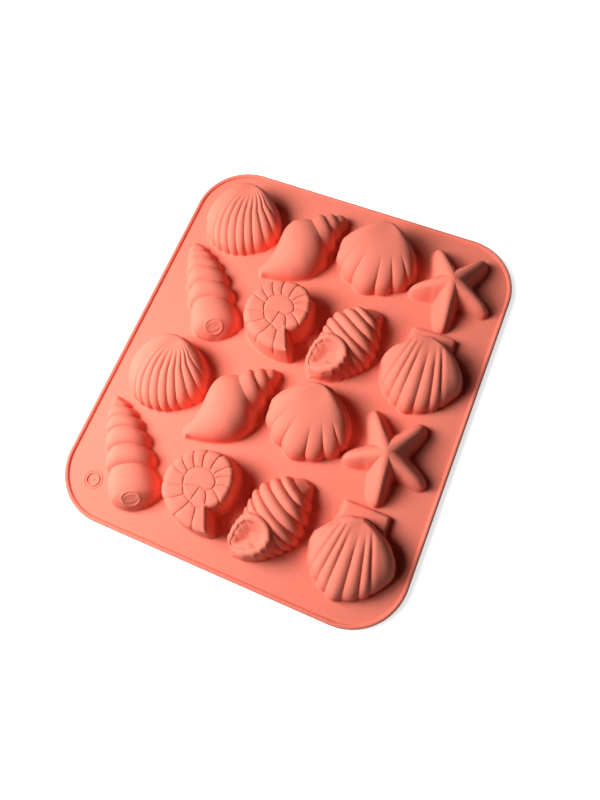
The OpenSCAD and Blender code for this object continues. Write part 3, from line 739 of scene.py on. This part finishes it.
def bowed(start, end, bow, steps=8):
    """Path from a point to a point whose middle bows to the left."""
    start, end = np.array(start, float), np.array(end, float)
    t = np.linspace(0, 1, steps + 1)[:, None]
    left = unit(np.array([start[1] - end[1], end[0] - start[0]]))
    return start + (end - start) * t + left * 4 * bow * t * (1 - t)


def coil_relief(x, y):
    """Depth of the thin grooves and of the soft hollows round them."""
    first, last = COIL_RING[0][0], COIL_RING[-1][0]
    around = np.linspace(first, last, COIL_RING_POINTS)
    ring = compass(around) * curve(around, COIL_RING)[:, None]
    angle = full_turn(turn_about(x, y), COIL_REACH[0][0])
    radius = curve(np.clip(angle, first, last), COIL_RING)
    outside = ease(*COIL_OUTSIDE, np.hypot(x, y) - radius)
    lines = [(path_distance(x, y, ring), 1)]
    lines += [(path_distance(x, y, bowed(*ends, COIL_BOW)), outside) for ends in COIL_GROOVES]
    lines += [(path_distance(x, y, bowed(*ends, 0)), COIL_LINE_SHARE) for ends in COIL_LINES]
    groove, hollow = np.zeros(x.shape), np.zeros(x.shape)
    for gap, share in lines:
        groove = np.maximum(groove, bell(gap, COIL_GROOVE_W) * share)
        hollow = np.maximum(hollow, bell(gap, COIL_HOLLOW_W) * share)
    return COIL_GROOVE * groove + COIL_HOLLOW * hollow


def coil_grid(inset, rings):
    """Flat-topped coil with a rounded upper edge."""
    loop, edge = coil_loop(inset)
    quarter = np.linspace(0, math.pi / 2, rings)
    middle = np.linspace(0, COIL_SPLIT, rings)[:-1]
    s = np.concatenate([middle, COIL_SPLIT + (1 - COIL_SPLIT) * np.sin(quarter)])
    flat = s[:, None, None] * loop
    gap = np.empty(flat.shape[:2])
    near = np.empty(flat.shape[:2])
    fine = np.vstack([loop, (loop + np.roll(loop, -1, axis=0)) / 2])
    fine_edge = np.concatenate([edge, (edge + np.roll(edge, -1)) / 2])
    for i, ring in enumerate(flat):
        d = np.linalg.norm(ring[:, None] - fine[None], axis=2)
        gap[i] = d.min(axis=1)
        near[i] = fine_edge[d.argmin(axis=1)]
    gap[-1] = 0
    near[-1] = edge
    near = np.maximum(near - inset / 2, LEAST_EDGE)
    fall = near - np.sqrt(np.maximum(near**2 - np.maximum(near - gap, 0) ** 2, 0))
    top = COIL_H - inset - fall
    low = top[-1]
    grid = [np.dstack([flat, top])]
    wall = np.linspace(1, COIL_FOOT, WALL_RINGS + 1)[1:]
    foot = COIL_FOOT * (1 - np.linspace(0, 1, COIL_FOOT_RINGS + 1)[1:])
    for share in np.concatenate([wall, foot]):
        z = low * share
        leaning = loop + loop_normals(loop) * (COIL_DRAFT * (low - z))[:, None]
        grid.append(np.column_stack([leaning, z])[None])
    return np.vstack(grid), spread(loop)


def nautilus():
    """Shell and mouth of the nautilus."""
    outer, outward = coil_grid(0, COIL_RINGS)
    depth = coil_relief(outer[..., 0], outer[..., 1]) * ease(*COIL_RELIEF, outer[..., 2] / COIL_H)
    outer -= normals(outer, True) * depth[..., None]
    inner, _ = coil_grid(WALL, COIL_INNER_RINGS)
    for grid in (outer, inner):
        grid[0] = grid[0].mean(axis=0)
    return ring_shell(outer, outward, inner)


# Spindle shells: lofted along their axis in arches that follow the seams

ARCHES = 200
# The arches are evenly spread by this share, and denser at both ends by the rest
ARCH_EVEN = 0.6
ARCH_POWER = 2.3
ARCH_POINTS = 84
ARCH_TURN = np.radians(np.linspace(180, 0, ARCH_POINTS))
# Share of the half width at each point of an arch
ARCH_ACROSS = np.sign(np.cos(ARCH_TURN)) * np.abs(np.cos(ARCH_TURN)) ** (2 / ARCH_POWER)
# A side thinner than this swells less
THIN_SIDE = 4
# Points of the outer and of the inner edge that lie nearer together than this count as one
SAME_OUTER = 1e-6
SAME_INNER = 1e-4


def whorls(kind, t):
    """Swell of the whorls of a spindle along its length, 0 at both ends."""
    edges = np.array(kind["seams"])
    i = np.clip(np.searchsorted(edges, t, side="right") - 1, 0, len(edges) - 2)
    u = np.clip((t - edges[i]) / (edges[i + 1] - edges[i]), 0, 1)
    wave = np.sin(math.pi * u ** kind["skew"]) ** kind["round"] - 1
    first, last = kind["depths"]
    depth = first + (last - first) * ease(*kind["deepens"], t)
    full = ease(*kind["begins"], t) * (1 - ease(*kind["ends"], t))
    return (wave + kind["above"]) * depth * full


def spindle_grid(kind, inset, swollen=True):
    """Skin of a spindle, with or without its whorls, and the place of its points across and along it."""
    length, height, turn, table = kind["length"], kind["height"], kind["turn"], kind["table"]
    even = np.linspace(0, 1, ARCHES)
    t = (1 - np.cos(np.linspace(0, math.pi, ARCHES))) / 2 * (1 - ARCH_EVEN) + even * ARCH_EVEN
    sides = [length * curve(t, table, 1), length * curve(t, table, 2), height * curve(t, table, 3)]
    swell = whorls(kind, t) if swollen else 0
    sides = [np.maximum(w + swell * np.minimum(1, w / THIN_SIDE), 0) for w in sides]
    left, right, top = [(w - np.minimum(inset, w / 2))[:, None] for w in sides]
    x = ARCH_ACROSS * np.where(np.cos(ARCH_TURN) > 0, right, left)
    bow = kind["bow"] * np.abs(x) * np.abs(ARCH_ACROSS)
    a = inset + t[:, None] * (length - 2 * inset) + kind["slant"] * x + bow
    z = np.abs(np.sin(ARCH_TURN)) ** (2 / ARCH_POWER) * top
    z[:, 0] = z[:, -1] = 0
    c, s = math.cos(math.radians(turn)), math.sin(math.radians(turn))
    return np.stack([a * c + x * s, a * s - x * c, z], axis=-1), x, a


def foot_steps(grid):
    """Steps outwards at the foot of each point of a grid of arches."""
    loop = edge_loop(ARCHES, ARCH_POINTS)
    flat = grid.reshape(-1, 3)[loop, :2]
    keep = apart(flat, SAME_OUTER)
    outline = flat[keep]
    wide = np.zeros((len(loop), 2))
    wide[keep] = loop_normals(outline) * np.sign(signed_area(outline))
    steps = np.zeros((ARCHES * ARCH_POINTS, 2))
    steps[loop] = wide
    steps = steps.reshape(ARCHES, ARCH_POINTS, 2)
    # At both ends of the shell the steps fan out
    middle = grid[..., :2].mean(axis=1)
    axis = unit(middle[-1] - middle[0])
    side = np.array([axis[1], -axis[0]])
    f = np.radians(np.linspace(-90, 90, ARCH_POINTS))[:, None]
    for row, sign in ((0, -1), (ARCHES - 1, 1)):
        steps[row] = sign * np.cos(f) * axis + np.sin(f) * side
    across = np.linspace(0, 1, ARCH_POINTS)[:, None]
    blend = steps[:, :1] * (1 - across) + steps[:, -1:] * across
    blend[0], blend[-1] = steps[0], steps[-1]
    return unit(blend)


def spindle_shell(kind):
    """Shell and mouth of a spindle shell."""
    skins = []
    for inset in (0, WALL):
        grid, x, a = spindle_grid(kind, inset)
        if "finish" in kind:
            plain, _, _ = spindle_grid(kind, inset, False)
            grid = kind["finish"](grid, plain, x, a, inset)
        grid[..., 2] = np.maximum(grid[..., 2], 0)
        grid[:, 0, 2] = grid[:, -1, 2] = 0
        grid[0, :, 2] = grid[-1, :, 2] = 0
        skins.append(grid)
    outer, inner = skins
    outer = with_foot(outer, foot_steps(outer))
    mouth = inner.reshape(-1, 3)[edge_loop(ARCHES, ARCH_POINTS), :2]
    return vault(outer, inner), mouth[apart(mouth, SAME_INNER)]


# A spindle has its size and turn, and the slant and bow of its arches. Its whorls swell between seams,
# given by the share of the length, of which the first and the last only end the outer whorls. They have a
# skew and a roundness, the depths of the seams before and after they deepen, the share of the swell above
# the table, and places where the swell begins and ends. The table gives the left and right half width and
# the height by the share of the length.

AUGER_PLACE = (-0.543, 0.588)
# The oval eye near the open end: middle along and across the shell, and its half axes
AUGER_EYE = (57.4, -1.0, 3.0, 4.5)
# Its rim: height, and width as a share of the half axes
EYE_RIM = (0.32, 0.13)
# An oval ridge inside it, smaller by these factors along and across: height and width
EYE_LENS = (1.9, 1.25)
EYE_RIDGE = (0.22, 0.2)
# Depth of the floor inside the rim, and where the ridge and the floor begin as shares of the half axes
EYE_DEPTH = 0.18
EYE_INSIDE = (1, 0.9)
EYE_FLOOR = (1, 0.85)
# Heights over the sheet over which the eye begins
EYE_ABOVE = (1, 3)


def auger_finish(grid, plain, x, a, inset):
    """Raises the rim and the inner ridge of the eye on the outer skin."""
    if inset:
        return grid
    p, q = (a - AUGER_EYE[0]) / AUGER_EYE[2], (x - AUGER_EYE[1]) / AUGER_EYE[3]
    d = np.hypot(p, q)
    lens = np.hypot(p * EYE_LENS[0], q * EYE_LENS[1])
    lift = EYE_RIM[0] * bell(d - 1, EYE_RIM[1])
    lift += EYE_RIDGE[0] * bell(lens - 1, EYE_RIDGE[1]) * ease(*EYE_INSIDE, d)
    lift -= EYE_DEPTH * ease(*EYE_FLOOR, d)
    return grid + normals(grid, False) * (lift * ease(*EYE_ABOVE, grid[..., 2]))[..., None]


AUGER = {
    "length": 62.6, "height": 11.5, "turn": -53.6, "slant": -0.07, "bow": 0.2, "finish": auger_finish,
    "seams": [0.04, 0.11, 0.2, 0.31, 0.465, 0.634, 1.08], "skew": 1, "round": 0.62, "above": 0.5,
    "depths": (1.6, 3), "deepens": (0.1, 0.6), "begins": (0, 0.1), "ends": (0.86, 0.98),
    "table": [
        [0, 0, 0, 0], [0.02, 0.035, 0.03, 0.24], [0.05, 0.062, 0.045, 0.36], [0.08, 0.085, 0.055, 0.42],
        [0.16, 0.13, 0.083, 0.56], [0.27, 0.172, 0.107, 0.7], [0.37, 0.193, 0.125, 0.8],
        [0.54, 0.21, 0.145, 0.91], [0.69, 0.216, 0.167, 0.97], [0.83, 0.203, 0.155, 0.93],
        [0.9, 0.16, 0.135, 0.8], [0.96, 0.1, 0.08, 0.5], [1, 0, 0, 0],
    ],
}

WHELK_PLACE = (-0.455, -0.553)
WHELK = {
    "length": 60, "height": 16.5, "turn": 56.6, "slant": -0.18, "bow": 0.1,
    "seams": [-0.9, 0.63, 0.765, 0.87, 1], "skew": 1.8, "round": 0.5, "above": 0.3 / 1.4,
    "depths": (1.4, 1.4), "deepens": (0, 1), "begins": (0.4, 0.62), "ends": (0.93, 1),
    "table": [
        [0, 0, 0, 0], [0.015, 0.065, 0.018, 0.28], [0.05, 0.078, 0.048, 0.37], [0.1, 0.075, 0.102, 0.46],
        [0.19, 0.105, 0.178, 0.62], [0.275, 0.165, 0.235, 0.8], [0.38, 0.242, 0.28, 0.96],
        [0.475, 0.262, 0.285, 1], [0.56, 0.232, 0.265, 0.98], [0.625, 0.2, 0.21, 0.92],
        [0.667, 0.185, 0.188, 0.87], [0.74, 0.17, 0.155, 0.79], [0.787, 0.148, 0.13, 0.72],
        [0.85, 0.118, 0.095, 0.6], [0.93, 0.07, 0.05, 0.41], [1, 0, 0, 0],
    ],
}

TURBAN_PLACE = (-0.277, -0.461)
# Middle of the aperture along and across the shell, and its rim round that: distance and half width by
# angle
APERTURE = (12, 0.5)
RIM = [
    [-71, 9.1, 1.4], [-54, 9.2, 1.9], [-34, 9.1, 2.1], [-11, 8.8, 2.1], [9, 8.8, 2.1], [30, 8.9, 2.1],
    [53, 8.7, 2.1], [75, 8, 2.1], [103, 7.2, 2.1], [136, 7, 2], [166, 8.1, 1.9], [184, 9.4, 1.6],
    [203, 10.9, 1.3], [219, 9.9, 1.2], [239, 8.8, 1.2], [264, 8.7, 1.2], [289, 9.1, 1.4],
]
# Height of the rim where it has its full half width
LIP = 2.2
LIP_HALF = 2.1
# Small waves of the rim on the left: height, length, and the directions over which they begin and end
CRINKLE = 0.15
CRINKLE_L = 2.1
CRINKLE_BEGIN = (200, 215)
CRINKLE_END = (285, 270)
# Depth of the aperture, the mean width of its slope and how much that varies, least in one direction
HOLLOW = 3.2
SLOPE = 5.5
SLOPE_VARIES = 3
STEEPEST = 60
# The cords fade out over this distance outside the rim, and up to a share of its half width
CORD_FADE = 2.2
CORD_END = 0.8
# Height of the smooth face round the aperture along the shell, and its section
FACE = [[0, 2], [2.5, 7.6], [8, 11.2], [15, 13.4], [23, 14.6], [30, 15]]
FACE_POWER = 8
# Heights over the sheet over which the rim and the aperture begin
RIM_ABOVE = (0, 2)


def turban_finish(grid, plain, x, a, inset):
    """A rounded rim round a hollow takes the place of the cords at the aperture."""
    p, q = a - APERTURE[0], x - APERTURE[1]
    around = full_turn(turn_about(p, q), RIM[0][0])
    half = curve(around, RIM, 2)
    gap = np.hypot(p, q) - curve(around, RIM)
    face = plain.copy()
    face[..., 2] = (curve(a, FACE) - inset) * (1 - np.abs(ARCH_ACROSS) ** FACE_POWER) ** (1 / FACE_POWER)
    smooth = ease(half + CORD_FADE, half * CORD_END, gap)[..., None]
    grid = grid * (1 - smooth) + face * smooth
    slope = SLOPE - SLOPE_VARIES * np.cos(np.radians(around - STEEPEST))
    lift = -HOLLOW * ease(0, slope, -gap - half / 2)
    if not inset:
        left = ease(*CRINKLE_BEGIN, around) * ease(*CRINKLE_END, around)
        crinkle = CRINKLE * np.sin(2 * math.pi * a / CRINKLE_L) * left
        tube = np.sqrt(np.maximum(1 - (gap / half) ** 2, 0))
        lift = lift + (LIP * (half / LIP_HALF) ** 2 + crinkle) * tube
    grid[..., 2] += lift * ease(*RIM_ABOVE, grid[..., 2])
    return grid


TURBAN = {
    "length": 51.5, "height": 15.5, "turn": 63.2, "slant": -0.04, "bow": 0.14, "finish": turban_finish,
    "seams": [0, 0.068, 0.146, 0.218, 0.287, 0.357, 0.428, 0.53, 0.645, 0.759, 0.864, 1.14],
    "skew": 1, "round": 0.6, "above": 0.4,
    "depths": (1.3, 2.2), "deepens": (0.36, 0.46), "begins": (0, 0.06), "ends": (0.92, 1),
    "table": [
        [0, 0, 0, 0], [0.041, 0.128, 0.093, 0.42], [0.103, 0.17, 0.165, 0.62], [0.184, 0.2, 0.222, 0.8],
        [0.287, 0.235, 0.27, 0.91], [0.371, 0.278, 0.294, 0.94], [0.462, 0.314, 0.3, 0.95],
        [0.565, 0.322, 0.284, 0.95], [0.668, 0.29, 0.235, 0.93], [0.771, 0.247, 0.163, 0.86],
        [0.854, 0.19, 0.108, 0.68], [0.932, 0.117, 0.05, 0.38], [0.977, 0.06, 0.022, 0.24], [1, 0, 0, 0],
    ],
}


# Cups in their places

MOUTHS = []


def place_cups(kind, shell, column, which, share):
    """The upper and the lower cup of a kind of shell, moved by a share of a cell."""
    (points, faces), mouth = shell
    for name, rows in (("upper", UPPER), ("lower", LOWER)):
        at = spot(column, rows[which], share)
        node = f"{kind}_cup_{name}"
        make_mesh(f"{kind}_{name}_skin", node, points + np.array([at[0], at[1], WEB_T]), faces)
        MOUTHS.append(mouth + at)


# Sheet

CORNER_STEPS = 24
BEAD_STEPS = 16
# Place of the gate mark from the near left corner of the sheet
GATE_AT = (18.5, 18.8)
# Its rings, low round ridges: radius, height and half width; and the radius and height of its dot
GATE_RINGS = [(3.3, 0.75, 0.5), (4.7, 0.35, 0.5)]
GATE_DOT = (0.9, 0.3)
# The mark is sunk into the sheet by this much
MARK_SINK = 0.05
# A face of the sheet whose normal rises less than this is a side, and is shaded smooth
SIDE_RISE = 0.9


def sheet_loop(inset):
    """Rounded outline of the sheet, anticlockwise."""
    x, y, r = SHEET_W / 2 - CORNER_R, SHEET_L / 2 - CORNER_R, CORNER_R - inset
    points = []
    for quarter, (i, j) in enumerate(((1, 1), (-1, 1), (-1, -1), (1, -1))):
        for k in range(CORNER_STEPS + 1):
            a = math.pi / 2 * (quarter + k / CORNER_STEPS)
            points.append((i * x + r * math.cos(a), j * y + r * math.sin(a)))
    return np.array(points)


def ridge_ring(radius, height, half, steps=64, sides=10):
    """A low round ridge along a circle."""
    v = np.linspace(0, math.pi, sides + 1)
    r = radius + half * np.cos(v)
    z = height * np.sin(v) - MARK_SINK
    rings = []
    faces = []
    n = sides + 1
    for k in range(steps):
        c, s = math.cos(2 * math.pi * k / steps), math.sin(2 * math.pi * k / steps)
        rings.append(np.column_stack([r * c, r * s, z]))
        m = (k + 1) % steps
        for i in range(sides):
            faces.append((k * n + i, m * n + i, m * n + i + 1, k * n + i + 1))
        faces.append((k * n + sides, m * n + sides, m * n, k * n))
    return np.vstack(rings), faces


def dot_dome(radius, height, steps=32, rows=6):
    """A low round dome."""
    points = [(0, 0, height - MARK_SINK)]
    for a in np.linspace(0, math.pi / 2, rows + 1)[1:]:
        for t in np.linspace(0, 2 * math.pi, steps, endpoint=False):
            r = radius * math.sin(a)
            points.append((r * math.cos(t), r * math.sin(t), height * math.cos(a) - MARK_SINK))
    faces = [(0, 1 + j, 1 + (j + 1) % steps) for j in range(steps)]
    faces += quads(rows, steps, 1, True)
    faces.append(tuple(range(1 + (rows - 1) * steps, 1 + rows * steps))[::-1])
    return np.array(points), faces


def make_web():
    """Flat sheet with the sixteen mouths, and the small round gate mark."""
    loops = [sheet_loop(BEAD_W)]
    for mouth in MOUTHS:
        loops.append(mouth[::-1] if signed_area(mouth) > 0 else mouth)
    triangles = tessellate_polygon([[Vector((p[0], p[1], 0)) for p in loop] for loop in loops])
    points = np.vstack(loops)
    n = len(points)
    faces = []
    for a, b, c in triangles:
        p, q, r = points[a], points[b], points[c]
        turn = (q[0] - p[0]) * (r[1] - p[1]) - (q[1] - p[1]) * (r[0] - p[0])
        if turn < 0:
            b, c = c, b
        faces += [(a, b, c), (n + c, n + b, n + a)]
    start = 0
    for loop in loops:
        m = len(loop)
        for k in range(m):
            p, q = start + k, start + (k + 1) % m
            faces.append((n + p, n + q, q, p))
        start += m
    sheet_faces = len(faces)
    parts = [np.column_stack([points, np.full(n, z)]) for z in (WEB_T, 0)]
    at = np.array([GATE_AT[0] - SHEET_W / 2, GATE_AT[1] - SHEET_L / 2, WEB_T])
    count = 2 * n
    for mark, mark_faces in [ridge_ring(*ring) for ring in GATE_RINGS] + [dot_dome(*GATE_DOT)]:
        parts.append(mark + at)
        faces += [tuple(count + k for k in face) for face in mark_faces]
        count += len(mark)
    web = make_mesh("web_skin", "web", np.vstack(parts), faces)
    for face in web.data.polygons:
        face.use_smooth = face.index >= sheet_faces or abs(face.normal.z) < SIDE_RISE


def make_border():
    """Rolled border."""
    half = BEAD_W / 2
    profile = [(0, 0), (0, BEAD_H - half)]
    for k in range(1, BEAD_STEPS):
        a = math.pi * (1 - k / BEAD_STEPS)
        profile.append((half + half * math.cos(a), BEAD_H - half + half * math.sin(a)))
    profile += [(BEAD_W, BEAD_H - half), (BEAD_W, 0)]
    rings = []
    for inset, z in profile:
        loop = sheet_loop(inset)
        rings.append(np.column_stack([loop, np.full(len(loop), z)]))
    rows, columns = len(rings), len(rings[0])
    faces = quads(rows, columns, 0, True, True)
    for j in range(columns):
        k = (j + 1) % columns
        faces.append((j, k, (rows - 1) * columns + k, (rows - 1) * columns + j))
    make_mesh("border_skin", "border_bead", np.vstack(rings), faces)


# Stage

FLOOR_HALF = 3.0
FLOOR_Z = -0.0002
FLOOR = {"Base Color": (0.8, 0.8, 0.8, 1), "Roughness": 0.9, "Specular IOR Level": 0}
# Glow that only the camera sees, and that makes the floor white there
FLOOR_GLOW = 0.72
# Direction of the light, from the left and a little from the near side
LIGHT_WAY = (0.74, 0.25, -0.73)
SUN_ENERGY = 1.75
SUN_ANGLE = 32
# The lamp is near enough to make the near left corner the brightest
LAMP_DISTANCE = 0.36
LAMP_SIZE = 0.2
LAMP_ENERGY = 1.6
# Strength of the white world, as light and as the camera sees it
WHITE = (1, 1, 1, 1)
WORLD = 0.012
WORLD_SEEN = 1
# Place and directions of the photograph's view, in millimetres over the sheet
CAMERA_PLACE = (68.24, -92.53, 312.84)
CAMERA_AIM = (-0.18134, 0.24886, -0.95141)
CAMERA_UP = (-0.34503, 0.88985, 0.29852)
CAMERA_LENS = 28.42
CAMERA_SENSOR = 36
CAMERA_NEAR = 0.01


def camera_sees(tree, plain, seen, end):
    """Ends a node tree in a shader that the camera sees, and a plain one for all other light."""
    path = tree.nodes.new("ShaderNodeLightPath")
    mix = tree.nodes.new("ShaderNodeMixShader")
    tree.links.new(path.outputs["Is Camera Ray"], mix.inputs["Fac"])
    tree.links.new(plain.outputs[0], mix.inputs[1])
    tree.links.new(seen.outputs[0], mix.inputs[2])
    tree.links.new(mix.outputs["Shader"], tree.nodes[end].inputs["Surface"])


def make_stage():
    """Pale floor that shows white to the camera and keeps the shadow."""
    mesh = bpy.data.meshes.new("floor")
    corners = [(i * FLOOR_HALF, j * FLOOR_HALF, 0) for i, j in ((-1, -1), (1, -1), (1, 1), (-1, 1))]
    mesh.from_pydata(corners, [], [(0, 1, 2, 3)])
    floor = bpy.data.objects.new("floor", mesh)
    floor.location.z = FLOOR_Z
    bpy.context.scene.collection.objects.link(floor)
    material = bpy.data.materials.new("floor")
    material.use_nodes = True
    tree = material.node_tree
    shader = tree.nodes["Principled BSDF"]
    glow = tree.nodes.new("ShaderNodeEmission")
    both = tree.nodes.new("ShaderNodeAddShader")
    fill(shader, FLOOR)
    fill(glow, {"Strength": FLOOR_GLOW})
    tree.links.new(shader.outputs["BSDF"], both.inputs[0])
    tree.links.new(glow.outputs["Emission"], both.inputs[1])
    camera_sees(tree, shader, both, "Material Output")
    floor.data.materials.append(material)


def make_world():
    """White world that is bright to the camera and lights the scene only a little."""
    world = bpy.data.worlds.new("world")
    bpy.context.scene.world = world
    world.use_nodes = True
    tree = world.node_tree
    dim = tree.nodes["Background"]
    seen = tree.nodes.new("ShaderNodeBackground")
    fill(dim, {"Color": WHITE, "Strength": WORLD})
    fill(seen, {"Color": WHITE, "Strength": WORLD_SEEN})
    camera_sees(tree, dim, seen, "World Output")


def make_lights():
    """A soft lamp near the left of the sheet and a weaker sun from the same side."""
    way = Vector(LIGHT_WAY).normalized()
    sun = bpy.data.lights.new("sun", "SUN")
    sun.energy = SUN_ENERGY
    sun.angle = math.radians(SUN_ANGLE)
    lamp = bpy.data.lights.new("lamp", "AREA")
    lamp.shape = "DISK"
    lamp.size = LAMP_SIZE
    lamp.energy = LAMP_ENERGY
    for name, light in (("sun", sun), ("lamp", lamp)):
        carrier = bpy.data.objects.new(name, light)
        carrier.rotation_euler = way.to_track_quat("-Z", "Y").to_euler()
        carrier.location = -way * LAMP_DISTANCE
        bpy.context.scene.collection.objects.link(carrier)


def make_camera():
    """Camera at the photograph's viewing angle."""
    data = bpy.data.cameras.new("camera")
    data.lens = CAMERA_LENS
    data.sensor_width = CAMERA_SENSOR
    data.sensor_fit = "AUTO"
    data.clip_start = CAMERA_NEAR
    camera = bpy.data.objects.new("camera", data)
    back = -Vector(CAMERA_AIM).normalized()
    up = (Vector(CAMERA_UP) - back * Vector(CAMERA_UP).dot(back)).normalized()
    right = up.cross(back)
    camera.location = Vector(CAMERA_PLACE) * MM
    camera.rotation_euler = Matrix((right, up, back)).transposed().to_euler()
    bpy.context.scene.collection.objects.link(camera)
    bpy.context.scene.camera = camera


bpy.context.scene.view_settings.view_transform = "Standard"
make_camera()
make_lights()
make_world()
make_stage()
place_cups("cockle", fan_shell(COCKLE), 0, 0, COCKLE_PLACE)
place_cups("fan", fan_shell(FAN), 2, 0, FAN_PLACE)
place_cups("scallop", fan_shell(SCALLOP), 3, 1, SCALLOP_PLACE)
place_cups("starfish", starfish(), 3, 0, STAR_PLACE)
place_cups("nautilus", nautilus(), 1, 1, COIL_PLACE)
place_cups("auger", spindle_shell(AUGER), 0, 1, AUGER_PLACE)
place_cups("whelk", spindle_shell(WHELK), 1, 0, WHELK_PLACE)
place_cups("turban", spindle_shell(TURBAN), 2, 1, TURBAN_PLACE)
make_web()
make_border()
